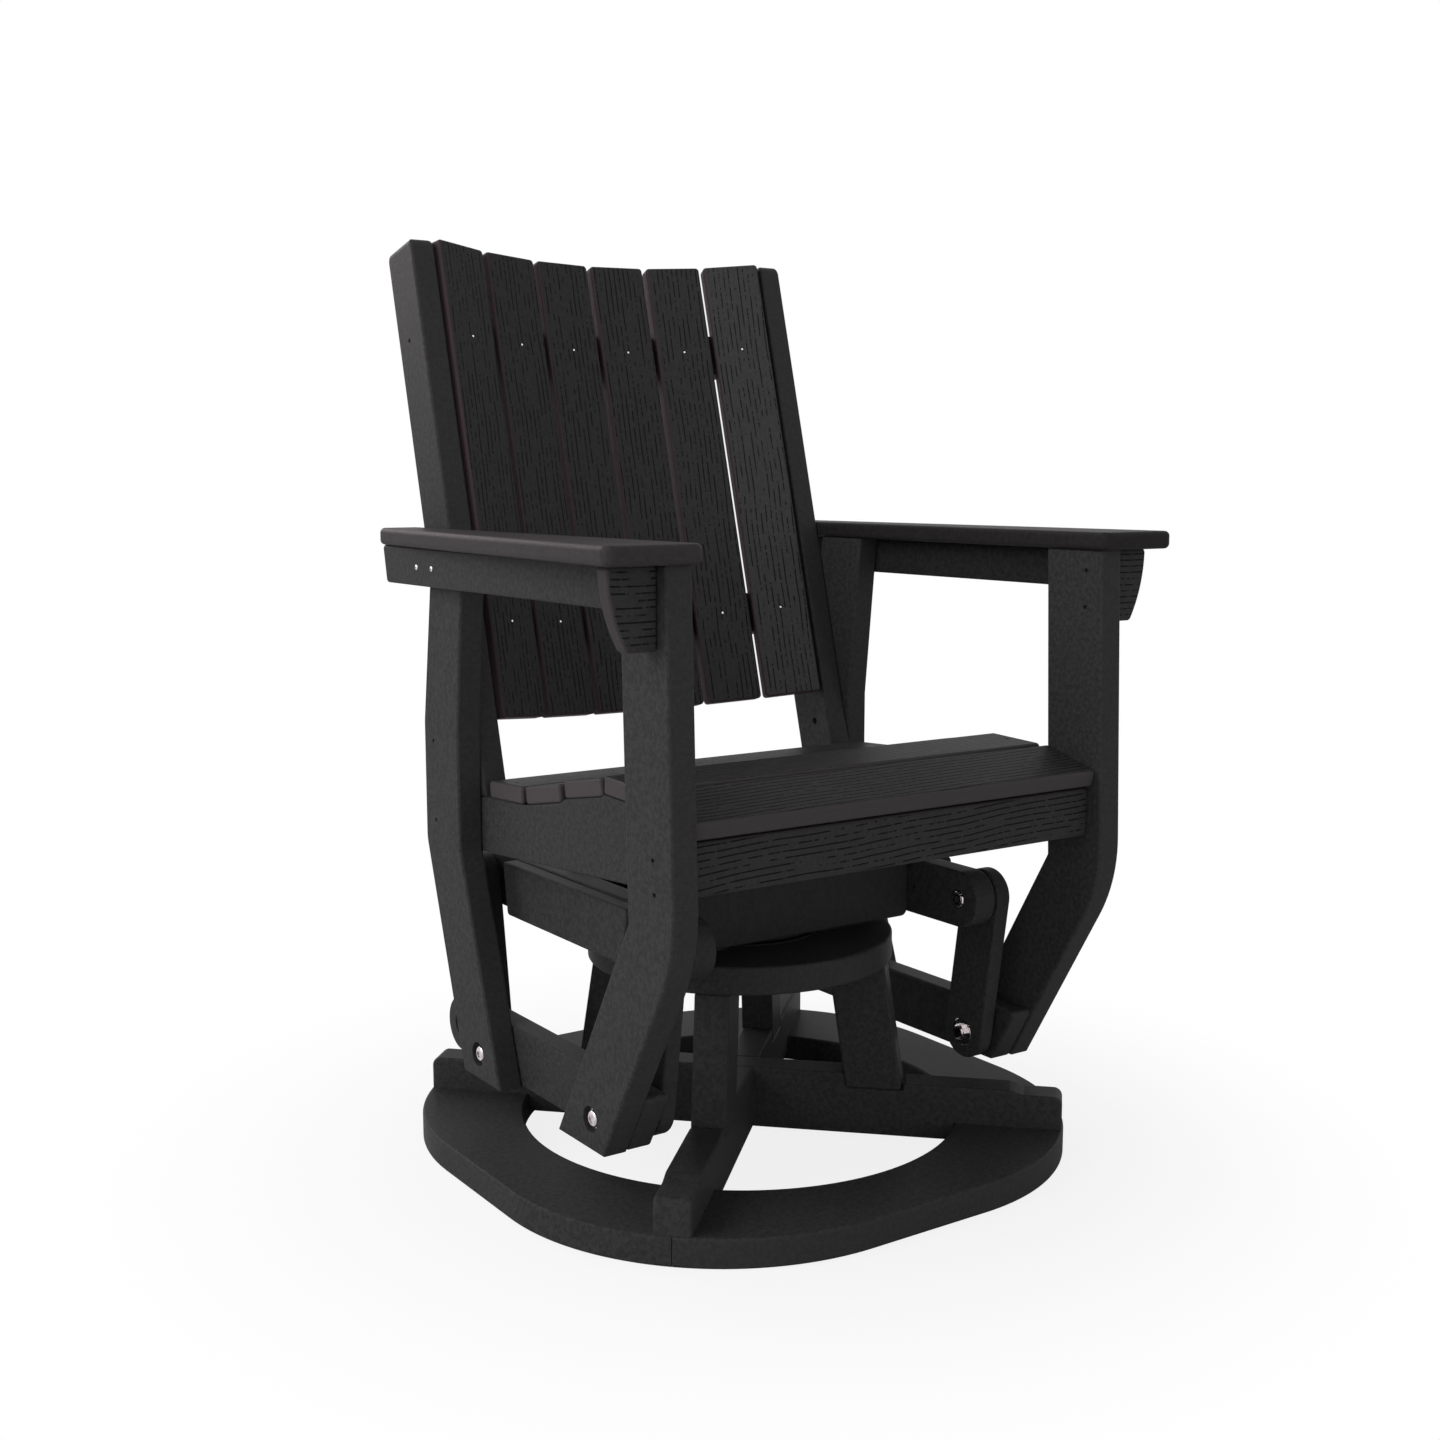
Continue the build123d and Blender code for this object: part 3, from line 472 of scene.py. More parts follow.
@dataclass(frozen=True)
class Axes:
    """Directions of a board, from its longest extent to its thinnest."""

    long: Vector
    wide: Vector
    thin: Vector

    @classmethod
    def of(cls, node: str) -> "Axes":
        """Measure a board of the frame.

        Args:
            node: Name of the CAD node.

        Returns:
            Its directions, weighed by the area of its faces.
        """
        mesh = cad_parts[node].data
        middles = np.array([face.center for face in mesh.polygons])
        areas = np.array([face.area for face in mesh.polygons])
        middle = (middles * areas[:, None]).sum(0) / areas.sum()
        spread = (middles - middle) * np.sqrt(areas)[:, None]
        _, rows = np.linalg.eigh(spread.T @ spread)
        return cls(*(Vector([float(value) for value in rows[:, column]]) for column in (2, 1, 0)))

    @classmethod
    def upright(cls) -> "Axes":
        """Directions of an upright board that faces the front."""
        return cls(UP, RIGHT, REAR)


@dataclass(frozen=True)
class Rod:
    """A round solid of the frame, such as a screw: its two ends, with the head first."""

    head: Vector
    tip: Vector

    @property
    def axis(self) -> Vector:
        """Direction that the head looks."""
        return (self.head - self.tip).normalized()

    @property
    def length(self) -> float:
        """Distance from tip to head."""
        return (self.head - self.tip).length

    @property
    def outer(self) -> tuple[Vector, Vector]:
        """Its head, and the direction out of it."""
        return self.head, self.axis

    @property
    def inner(self) -> tuple[Vector, Vector]:
        """Its tip, and the direction out of it."""
        return self.tip, -self.axis


def loose_solids(node: str) -> list[np.ndarray]:
    """Part the corners of a CAD node by the solid they belong to.

    Args:
        node: Name of the CAD node.

    Returns:
        One array of corners for each solid, in the mesh's order.
    """
    work = bmesh.new()
    work.from_mesh(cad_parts[node].data)
    bmesh.ops.remove_doubles(work, verts=work.verts, dist=WELD)
    seen: set[bmesh.types.BMVert] = set()
    solids = []
    for start in work.verts:
        if start in seen:
            continue
        seen.add(start)
        queue, corners = [start], []
        while queue:
            corner = queue.pop()
            corners.append(tuple(corner.co))
            fresh = [edge.other_vert(corner) for edge in corner.link_edges]
            fresh = [other for other in fresh if other not in seen]
            seen.update(fresh)
            queue.extend(fresh)
        solids.append(np.array(corners))
    work.free()
    return solids


def rods_of(node: str, outward: Vector | None = None) -> list[Rod]:
    """Measure the round solids of a CAD node.

    Args:
        node: Name of the CAD node.
        outward: Direction that the heads look; without it they look away from the middle plane.

    Returns:
        A rod for each solid.
    """
    rods = []
    for corners in loose_solids(node):
        middle = (corners.max(0) + corners.min(0)) / 2
        _, rows = np.linalg.eigh(np.cov((corners - corners.mean(0)).T))
        axis = rows[:, 2]
        side = RIGHT * math.copysign(1.0, middle[0])
        if Vector(axis.tolist()).dot(outward or side) < 0:
            axis = -axis
        places = (corners - middle) @ axis
        head = Vector((middle + axis * places.max()).tolist())
        tip = Vector((middle + axis * places.min()).tolist())
        rods.append(Rod(head, tip))
    return rods


class Turned(Tree):
    """Geometry node group that sets one turned shape on every point."""

    RANDOM_MOST = 3
    RANDOM_FLOAT = 1

    def __init__(self, name: str, sizes: Iterable[str]) -> None:
        """Start a group with a named input for each size.

        Args:
            name: The group's name.
            sizes: Names of its sizes.
        """
        group = bpy.data.node_groups.new(name, "GeometryNodeTree")
        super().__init__(group)
        self.identifiers = {}
        group.interface.new_socket("Points", in_out="INPUT", socket_type="NodeSocketGeometry")
        for size in (*sizes, "Seed"):
            kind = "NodeSocketInt" if size == "Seed" else "NodeSocketFloat"
            socket = group.interface.new_socket(size, in_out="INPUT", socket_type=kind)
            self.identifiers[size] = socket.identifier
        group.interface.new_socket("Mesh", in_out="OUTPUT", socket_type="NodeSocketGeometry")
        self.entry = self.add("NodeGroupInput")

    def size(self, name: str) -> Signal:
        """Input of the group by its name."""
        return Signal(self, self.entry.outputs[name])

    def rings(self, width: Signal, height: Signal, profile: Profile) -> list[tuple[Signal, Signal]]:
        """Rings whose radii and rises are shares of a width and of a height."""
        return [(width * wide, height * rise) for wide, rise in profile]

    def extruded(
        self, mesh: Signal, face: Signal | None, rise: Signal | float, scale: Signal | float
    ) -> tuple[Signal, Signal]:
        """Draw a face out and scale it.

        Args:
            mesh: The mesh.
            face: Selection of the face; without it the whole mesh is drawn out.
            rise: How far it goes, less than 0 to sink it.
            scale: What its size is multiplied by.

        Returns:
            The mesh, and the selection of the moved face.
        """
        sockets = {"Mesh": mesh, "Offset Scale": rise, "Individual": False}
        if face:
            sockets["Selection"] = face
        step = self.add("GeometryNodeExtrudeMesh", {"mode": "FACES"}, sockets)
        top = Signal(self, step.outputs["Top"])
        sockets = {"Geometry": Signal(self, step.outputs["Mesh"]), "Selection": top, "Scale": scale}
        return self.signal("GeometryNodeScaleElements", {"domain": "FACE"}, sockets), top

    def stack(
        self, sides: int, rings: list[tuple[Signal, Signal | float]]
    ) -> tuple[Signal, Signal]:
        """Build a closed shape from rings, each a radius and a rise over the one before.

        Args:
            sides: Corners of each ring.
            rings: Radius of each ring, and its rise.

        Returns:
            The mesh, and the selection of its last face.
        """
        radius = rings[0][0]
        sockets = {"Vertices": sides, "Radius": radius}
        disc = self.signal("GeometryNodeMeshCircle", {"fill_type": "NGON"}, sockets, "Mesh")
        under = self.signal("GeometryNodeFlipFaces", {}, {"Mesh": disc})
        mesh, top = disc, None
        for next_radius, rise in rings[1:]:
            mesh, top = self.extruded(mesh, top, rise, next_radius / radius)
            radius = next_radius
        joined = self.signal("GeometryNodeJoinGeometry", {}, {"Geometry": (mesh, under)})
        sockets = {"Geometry": joined, "Distance": WELD}
        return self.signal("GeometryNodeMergeByDistance", {}, sockets), top

    def hexed(self, mesh: Signal, face: Signal) -> Signal:
        """Draw the corners of a round face in to a hexagon inside it.

        Args:
            mesh: The mesh.
            face: Selection of the face.

        Returns:
            The mesh with that face six-sided.
        """
        place = self.signal("GeometryNodeInputPosition")
        across = self.signal("ShaderNodeSeparateXYZ", {}, {0: place}, "X")
        along = self.signal("ShaderNodeSeparateXYZ", {}, {0: place}, "Y")
        angle = along.maths("ARCTAN2", along, across)
        sixth = math.tau / HEX_SIDES
        turn = (angle / sixth + HEX_SIDES).fraction() * sixth - sixth / 2
        pull = math.cos(sixth / 2) / turn.maths("COSINE", turn)
        flat = self.signal("ShaderNodeCombineXYZ", {}, {0: pull, 1: pull, 2: 1.0})
        moved = self.signal("ShaderNodeVectorMath", {"operation": "MULTIPLY"}, {0: place, 1: flat})
        sockets = {"Geometry": mesh, "Selection": face, "Position": moved}
        return self.signal("GeometryNodeSetPosition", {}, sockets)

    def lifted(self, mesh: Signal, rise: Signal) -> Signal:
        """Move a shape along its axis."""
        offset = self.signal("ShaderNodeCombineXYZ", {}, {2: rise})
        return self.signal("GeometryNodeTransform", {}, {"Geometry": mesh, "Translation": offset})

    def close(
        self,
        mesh: Signal,
        material: bpy.types.Material,
        accent: tuple[Signal, bpy.types.Material] | None = None,
    ) -> None:
        """Set the shape on the points, each turned by a random angle about its axis.

        Args:
            mesh: The shape, with its head towards +Z.
            material: Its finish.
            accent: Selection of faces with a finish of their own, and that finish.
        """
        kind = {"data_type": "FLOAT_VECTOR"}
        axis = self.signal("GeometryNodeInputNamedAttribute", kind, {"Name": "axis"})
        aligned = self.signal("FunctionNodeAlignRotationToVector", {"axis": "Z"}, {"Vector": axis})
        kind = {"data_type": "FLOAT"}
        sockets = {self.RANDOM_MOST: math.tau, "Seed": self.size("Seed")}
        angle = self.signal("FunctionNodeRandomValue", kind, sockets, self.RANDOM_FLOAT)
        sockets = {"Axis": tuple(UP), "Angle": angle}
        spin = self.signal("FunctionNodeAxisAngleToRotation", {}, sockets)
        kind = {"rotation_space": "LOCAL"}
        turned = self.signal("FunctionNodeRotateRotation", kind, {0: aligned, 1: spin})
        sockets = {"Points": self.size("Points"), "Instance": mesh, "Rotation": turned}
        placed = self.signal("GeometryNodeInstanceOnPoints", {}, sockets)
        solid = self.signal("GeometryNodeRealizeInstances", {}, {"Geometry": placed})
        sockets = {"Geometry": solid, "Material": material}
        dressed = self.signal("GeometryNodeSetMaterial", {}, sockets)
        if accent:
            sockets = {"Geometry": dressed, "Selection": accent[0], "Material": accent[1]}
            dressed = self.signal("GeometryNodeSetMaterial", {}, sockets)
        self.add("NodeGroupOutput", {}, {"Mesh": dressed})

    def run(
        self, points: list[tuple[Vector, Vector]], sizes: dict[str, float], seed: int
    ) -> bpy.types.Mesh:
        """Evaluate the group on points.

        Args:
            points: Place and axis of each shape.
            sizes: Value of each named size, in metres.
            seed: Seed of the random turn.

        Returns:
            A plain mesh of all the shapes.
        """
        base = bpy.data.meshes.new("places")
        base.from_pydata([tuple(place) for place, _ in points], [], [])
        axes = base.attributes.new("axis", "FLOAT_VECTOR", "POINT")
        for row, (_, axis) in zip(axes.data, points):
            row.vector = axis
        holder = bpy.data.objects.new("places", base)
        bpy.context.scene.collection.objects.link(holder)
        modifier = holder.modifiers.new("shapes", "NODES")
        modifier.node_group = self.tree
        for name, value in {**sizes, "Seed": seed}.items():
            modifier[self.identifiers[name]] = value
        evaluated = holder.evaluated_get(bpy.context.evaluated_depsgraph_get())
        mesh = bpy.data.meshes.new_from_object(evaluated)
        holder.modifiers.remove(modifier)
        bpy.data.objects.remove(holder)
        return mesh


def settle(name: str, meshes: list[bpy.types.Mesh], body: str, slot: str, *nodes: str) -> None:
    """Join plain meshes into one piece that stands for CAD nodes.

    Args:
        name: Name of the piece.
        meshes: Its parts.
        body: Body that it rides on.
        slot: Material slot of the record; not used.
        nodes: CAD nodes that it replaces.
    """
    work = bmesh.new()
    materials: list[bpy.types.Material] = []
    for mesh in meshes:
        first = len(work.faces)
        work.from_mesh(mesh)
        work.faces.ensure_lookup_table()
        for material in mesh.materials:
            if material not in materials:
                materials.append(material)
        for face in work.faces[first:]:
            face.material_index = materials.index(mesh.materials[face.material_index])
        bpy.data.meshes.remove(mesh)
    bmesh.ops.remove_doubles(work, verts=work.verts, dist=WELD)
    bmesh.ops.recalc_face_normals(work, faces=work.faces)
    joined = bpy.data.meshes.new(name)
    work.to_mesh(joined)
    work.free()
    for material in materials:
        joined.materials.append(material)
    joined.shade_smooth()
    joined.set_sharp_from_angle(angle=SHARP_ANGLE)
    piece = bpy.data.objects.new(name, joined)
    bpy.context.scene.collection.objects.link(piece)
    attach(piece, body)
    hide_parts(*nodes)
    log.info("%s: %d faces on %s", name, len(joined.polygons), body)


def dress(nodes: Iterable[str], material: bpy.types.Material) -> None:
    """Give CAD nodes a finish.

    Args:
        nodes: Names of the nodes.
        material: The finish.
    """
    for node in nodes:
        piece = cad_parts[node]
        if not piece.material_slots:
            piece.data.materials.append(material)
        for slot in piece.material_slots:
            slot.material = material
        log.info("%s: %s", node, material.name)


def both(name: str) -> tuple[str, str]:
    """Names of the left and the right piece."""
    return f"{name}_left", f"{name}_right"


@dataclass
class Base:
    """Ring, crossed beams, posts and swivel plate, with the fixed half of the bearing."""

    lumber: LumberFinish
    steel: SteelFinish
    coating: CoatedFinish
    ball_rings: int = 8
    ball_seed: int = 3
    quarters: tuple[str, ...] = ("front", "right", "rear", "left")
    corners: tuple[str, ...] = ("rear_right", "rear_left", "front_left", "front_right")

    def dress_boards(self) -> None:
        """Give the boards their mottled finish."""
        segments = [f"ring_segment_{side}" for side in self.quarters]
        posts = [f"base_post_{corner}" for corner in self.corners]
        dress(segments, self.lumber.material("ring_boards"))
        dress(("base_beam_a", "base_beam_b"), self.lumber.material("beam_boards"))
        dress(posts, self.lumber.material("post_boards"))
        dress(("swivel_plate",), self.lumber.material("swivel_board"))

    def build_bearing(self) -> None:
        """Dress the race and set the balls on it."""
        # painted shade: the race is made black to show as dark as the shade under the seat
        dress(("bearing_lower_plate",), self.coating.material("lower_race_painted_shade"))
        balls = Turned("bearing_ball", ("Radius",))
        rings, radius = self.ball_rings, balls.size("Radius")
        sockets = {"Radius": radius, "Segments": 2 * rings, "Rings": rings}
        ball = balls.signal("GeometryNodeMeshUVSphere", {}, sockets, "Mesh")
        balls.close(ball, self.steel.material("ball_steel"))
        boxes = [(corners.min(0), corners.max(0)) for corners in loose_solids("bearing_balls")]
        points = [(Vector(((low + high) / 2).tolist()), UP) for low, high in boxes]
        low, high = boxes[0]
        mesh = balls.run(points, {"Radius": float(high[2] - low[2]) / 2}, self.ball_seed)
        settle("bearing_ball_set", [mesh], "base", "bright_steel", "bearing_balls")


@dataclass(frozen=True)
class ButtonSizes:
    """Radii, thicknesses and depths of a button-headed bolt on its washer, in metres."""

    shank: float
    washer: float
    washer_thick: float
    head: float
    head_side: float
    dome: float
    socket: float
    socket_deep: float

    def inputs(self, length: float) -> dict[str, float]:
        """Named inputs of the bolt group, for a bolt of a length."""
        sizes = {name.replace("_", " ").title(): value for name, value in asdict(self).items()}
        return {"Length": length, **sizes}


@dataclass
class Bolts:
    """Through bolts of the pivots and rear legs, with their nuts and washers.

    A profile gives each ring's share of a radius and its rise as a share of a height.
    """

    steel: SteelFinish
    sides: int = 24
    pivot: ButtonSizes = ButtonSizes(
        shank=6.35 * MM,
        washer=10.6 * MM,
        washer_thick=1.3 * MM,
        head=8.8 * MM,
        head_side=2.2 * MM,
        dome=1.6 * MM,
        socket=4.0 * MM,
        socket_deep=2.6 * MM,
    )
    apron_screw: ButtonSizes = ButtonSizes(
        shank=2.4 * MM,
        washer=3.0 * MM,
        washer_thick=0.24 * MM,
        head=3.0 * MM,
        head_side=0.24 * MM,
        dome=0.72 * MM,
        socket=1.08 * MM,
        socket_deep=0.84 * MM,
    )
    link_washer: float = 15.4 * MM
    nut: float = 9.8 * MM
    nut_thick: float = 6.0 * MM
    sleeve: float = 9.8 * MM
    sleeve_length: float = 11.2 * MM
    shank_profile: Profile = ((1.0, 0.0), (1.0, 1.0))
    washer_profile: Profile = ((0.97, 0.0), (1.0, 0.25), (1.0, 0.5), (0.97, 0.25))
    side_profile: Profile = ((1.0, 0.0), (1.0, 0.55), (0.97, 0.45))
    dome_profile: Profile = ((0.88, 0.5), (0.74, 0.32), (0.58, 0.18))
    socket_rim: float = 1.08
    socket_taper: float = 0.94
    hexagon_profile: Profile = ((0.95, 0.0), (1.0, 0.08), (1.0, 0.57), (0.93, 0.05))
    collar_profile: Profile = ((0.8, 0.0), (0.8, 0.18), (0.76, 0.06))
    collar_bore: float = 1.06
    collar_deep: float = 0.1
    collar_drop: float = 0.3
    end_profile: Profile = ((1.0, 0.0), (1.0, 0.2), (0.86, 0.06))
    end_drop: float = 0.26
    upper_seed: int = 5
    sleeve_seed: int = 6
    chair_seed: int = 10
    link_nut_seed: int = 30
    rail_nut_seed: int = 31
    apron_seed: int = 40

    def bolt_group(self) -> Turned:
        """Build the group of a button-headed bolt on its washer.

        Returns:
            The group, whose points lie on the crowns.
        """
        bolt = Turned("button_bolt", self.pivot.inputs(0.0))
        head, side, dome = bolt.size("Head"), bolt.size("Head Side"), bolt.size("Dome")
        thick, length = bolt.size("Washer Thick"), bolt.size("Length")
        rings = [
            *bolt.rings(bolt.size("Shank"), length - side - dome - thick, self.shank_profile),
            *bolt.rings(bolt.size("Washer"), thick, self.washer_profile),
            *bolt.rings(head, side, self.side_profile),
            *bolt.rings(head, dome, self.dome_profile),
            (bolt.size("Socket") * self.socket_rim, 0.0),
        ]
        mesh, top = bolt.stack(self.sides, rings)
        mesh = bolt.hexed(mesh, top)
        mesh, _ = bolt.extruded(mesh, top, -1.0 * bolt.size("Socket Deep"), self.socket_taper)
        bolt.close(bolt.lifted(mesh, -1.0 * length), self.steel.material("bolt_steel"))
        return bolt

    def nut_group(self) -> Turned:
        """Build the group of a locking nut with its collar, the bolt's end and a washer.

        Returns:
            The group, whose points lie on the nut's outer face.
        """
        nut = Turned("lock_nut", ("Thick", "Nut", "Shank", "Washer", "Washer Thick"))
        wide, thick, shank = nut.size("Nut"), nut.size("Thick"), nut.size("Shank")
        washer, washer_thick = nut.size("Washer"), nut.size("Washer Thick")
        disc, _ = nut.stack(self.sides, nut.rings(washer, washer_thick, self.washer_profile))
        hexagon, _ = nut.stack(HEX_SIDES, nut.rings(wide, thick, self.hexagon_profile))
        rings = [*nut.rings(wide, thick, self.collar_profile), (shank * self.collar_bore, 0.0)]
        collar, top = nut.stack(self.sides, rings)
        collar, _ = nut.extruded(collar, top, thick * -self.collar_deep, 1.0)
        end, _ = nut.stack(self.sides, nut.rings(shank, thick, self.end_profile))
        placed = (
            nut.lifted(disc, -1.0 * (thick + washer_thick)),
            nut.lifted(hexagon, -1.0 * thick),
            nut.lifted(collar, thick * -self.collar_drop),
            nut.lifted(end, thick * -self.end_drop),
        )
        joined = nut.signal("GeometryNodeJoinGeometry", {}, {"Geometry": placed})
        nut.close(joined, self.steel.material("nut_steel"))
        return nut

    def build_upper(self, bolt: Turned) -> None:
        """Build the upper pivot bolts, with plain sleeves at their inner ends.

        Args:
            bolt: Group of the bolt.
        """
        rods = rods_of("upper_pivot_bolts")
        sizes = self.pivot.inputs(rods[0].length)
        outer = bolt.run([rod.outer for rod in rods], sizes, self.upper_seed)
        sleeve = replace(self.pivot, shank=self.sleeve, washer=self.sleeve, head=self.sleeve)
        sizes = sleeve.inputs(self.sleeve_length)
        inner = bolt.run([rod.inner for rod in rods], sizes, self.sleeve_seed)
        meshes = [outer, inner]
        settle("upper_bolt_set", meshes, "swivel_frame", "bright_steel", "upper_pivot_bolts")

    def build_chair(self, bolt: Turned, nut: Turned) -> None:
        """Build the chair's through bolts with their nuts, and the bright screws of the aprons.

        Args:
            bolt: Group of the bolt.
            nut: Group of the nut.
        """
        rods = rods_of("chair_bolts")
        large = [rod for rod in rods if self.is_large(rod)]
        small = [rod for rod in rods if not self.is_large(rod)]
        meshes = []
        for seed, rod in enumerate(large, self.chair_seed):
            meshes.append(bolt.run([rod.outer], self.pivot.inputs(rod.length), seed))
        sizes = {
            "Thick": self.nut_thick,
            "Nut": self.nut,
            "Shank": self.pivot.shank,
            "Washer Thick": self.pivot.washer_thick,
        }
        on_links = [rod for rod in large if self.is_on_link(rod)]
        on_rails = [rod for rod in large if not self.is_on_link(rod)]
        for group, washer, seed in (
            (on_links, self.link_washer, self.link_nut_seed),
            (on_rails, self.pivot.washer, self.rail_nut_seed),
        ):
            sizes["Washer"] = washer
            meshes.append(nut.run([rod.inner for rod in group], sizes, seed))
        sizes = self.apron_screw.inputs(small[0].length)
        meshes.append(bolt.run([rod.outer for rod in small], sizes, self.apron_seed))
        settle("chair_bolt_set", meshes, "chair", "bright_steel", "chair_bolts")

    def build(self) -> None:
        """Replace the bolts of the frame by finer ones in the same places."""
        bolt, nut = self.bolt_group(), self.nut_group()
        self.build_upper(bolt)
        self.build_chair(bolt, nut)

    def is_on_link(self, rod: Rod) -> bool:
        """True for a pivot bolt, whose nut lies on a link's inner face."""
        return abs(rod.tip.x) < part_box("link_front_right")[0].x

    def is_large(self, rod: Rod) -> bool:
        """True for a through bolt, false for a screw of the aprons."""
        return rod.head.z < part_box("seat_slat_1")[0].z


@dataclass
class Screws:
    """Small screws of the slats and of the frame."""

    steel: SteelFinish
    coating: CoatedFinish
    sides: int = 20
    radius: float = 2.4 * MM
    shaft_profile: Profile = ((0.2, 0.0), (0.62, 0.22), (0.62, 0.6))
    head_rise: float = 0.18
    bevel: float = 0.12
    rim: float = 0.8
    recess_taper: float = 0.66
    shallow: float = 0.5 * MM
    deep: float = 2.2 * MM
    slat_outward: Vector = Vector((0, -0.5, 1))
    slat_seed: int = 50
    frame_seed: int = 60

    def group(self, name: str, floor_finish: bpy.types.Material) -> Turned:
        """Build the group of a flat-headed screw with a drive recess.

        Args:
            name: The group's name.
            floor_finish: Finish of the recess's floor.

        Returns:
            The group, whose points lie on the heads.
        """
        screw = Turned(name, ("Length", "Radius", "Rim", "Deep"))
        radius, length = screw.size("Radius"), screw.size("Length")
        bevel = radius * self.bevel
        rings = [
            *screw.rings(radius, length, self.shaft_profile),
            (radius, length * self.head_rise - bevel),
            (radius - bevel, bevel),
            (radius * screw.size("Rim"), 0.0),
        ]
        mesh, top = screw.stack(self.sides, rings)
        mesh, floor = screw.extruded(mesh, top, -1.0 * screw.size("Deep"), self.recess_taper)
        coating = self.coating.material(f"{name}_coating")
        screw.close(screw.lifted(mesh, -1.0 * length), coating, (floor, floor_finish))
        return screw

    def is_driven_inward(self, rod: Rod) -> bool:
        """Whether the screw's outer end lies in the outer face of a leg or of a back post."""
        faces = (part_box(node)[1].x for node in ("rear_leg_right", "back_post_right"))
        return any(abs(abs(rod.head.x) - face) < self.deep for face in faces)

    def build(self) -> None:
        """Replace the screws of the frame by finer ones in the same places."""
        pale = self.group("slat_screw", self.steel.material("slat_screw_steel"))
        dark = self.group("frame_screw", self.coating.material("frame_screw_recess"))
        for screw, node, outward, deep, seed in (
            (pale, "slat_screw", self.slat_outward, self.shallow, self.slat_seed),
            (dark, "frame_screw", None, self.deep, self.frame_seed),
        ):
            rods = [
                rod if outward or self.is_driven_inward(rod) else Rod(rod.tip, rod.head)
                for rod in rods_of(f"{node}s", outward)
            ]
            sizes = {"Length": rods[0].length, "Radius": self.radius, "Rim": self.rim, "Deep": deep}
            mesh = screw.run([rod.outer for rod in rods], sizes, seed)
            settle(f"{node}_set", [mesh], "chair", "coated_steel", f"{node}s")


@dataclass
class SwivelFrame:
    """Boards that turn on the bearing and carry the links."""

    lumber: LumberFinish
    steel: SteelFinish
    coating: CoatedFinish

    def dress_boards(self) -> None:
        """Give the boards their mottled finish."""
        dress(("cross_board_front", "cross_board_rear"), self.lumber.material("cross_boards"))
        dress(both("glider_rail"), self.lumber.material("rail_boards"))
        dress(both("side_board"), self.lumber.material("side_boards"))

    def dress_metal(self) -> None:
        """Give the race a black coat as painted shade and the spacers their steel."""
        # painted shade: the race is made black to show as dark as the shade under the seat
        dress(("bearing_upper_plate",), self.coating.material("upper_race_painted_shade"))
        dress(("upper_spacers",), self.steel.material("upper_spacer_steel"))


@dataclass
class Links:
    """Four links that the chair hangs on."""

    lumber: LumberFinish
    ends: tuple[str, ...] = ("front", "rear")

    def dress_boards(self) -> None:
        """Give the links their mottled finish."""
        nodes = [f"link_{end}_{side}" for end in self.ends for side in SIDES]
        dress(nodes, self.lumber.material("link_boards"))


@dataclass
class Seat:
    """Side rails, slats and the board under the front slat."""

    lumber: LumberFinish
    slats: int = 5
    # partly painted sheen: the slats' narrow sides are lighter and pinker, for the lamps' shine on
    # their edges
    slat_grain: Emboss = Emboss(bare=0.42, edge=(0.055, 0.0495, 0.0518))
    front_grain: Emboss = Emboss(bare=0.47)

    def dress_boards(self) -> None:
        """Give the rails a plain finish and the slats their grain."""
        dress(both("seat_rail"), self.lumber.material("seat_rail_boards"))
        for number in range(1, self.slats + 1):
            node = f"seat_slat_{number}"
            dress((node,), self.lumber.material(f"{node}_board", self.slat_grain, Axes.of(node)))
        finish = self.lumber.material("front_board_grain", self.front_grain, Axes.of("front_board"))
        dress(("front_board",), finish)


@dataclass
class Back:
    """Back posts, slats and the curved boards behind the slats.

    Each slat has a factor of its own, counted from the left, that lightens or darkens it: painted
    light, lightest on the rightmost slats, which turn towards the key lamp.
    """

    lumber: LumberFinish
    # partly painted sheen: pink narrow sides of the slats, for the rim lamp's shine in the gaps
    grain: Emboss = Emboss(bare=0.49, edge=(0.052, 0.0365, 0.0425))
    # painted light: the slats that turn towards the key lamp are lightened, the rightmost most
    slat_painted_light: tuple[float, ...] = (0.97, 0.93, 0.94, 0.98, 1.07, 1.5)

    def dress_boards(self) -> None:
        """Give the posts a plain finish and each slat its grain and its own painted light."""
        dress(both("back_post"), self.lumber.material("back_post_boards"))
        supports = ("back_support_upper", "back_support_lower")
        dress(supports, self.lumber.material("back_support_boards"))
        for number, painted_light_factor in enumerate(self.slat_painted_light, 1):
            node = f"back_slat_{number}"
            # the slat's finish is lightened or darkened as painted light
            finish = self.lumber.toned(painted_light_factor)
            dress((node,), finish.material(f"{node}_board", self.grain, Axes.of(node)))


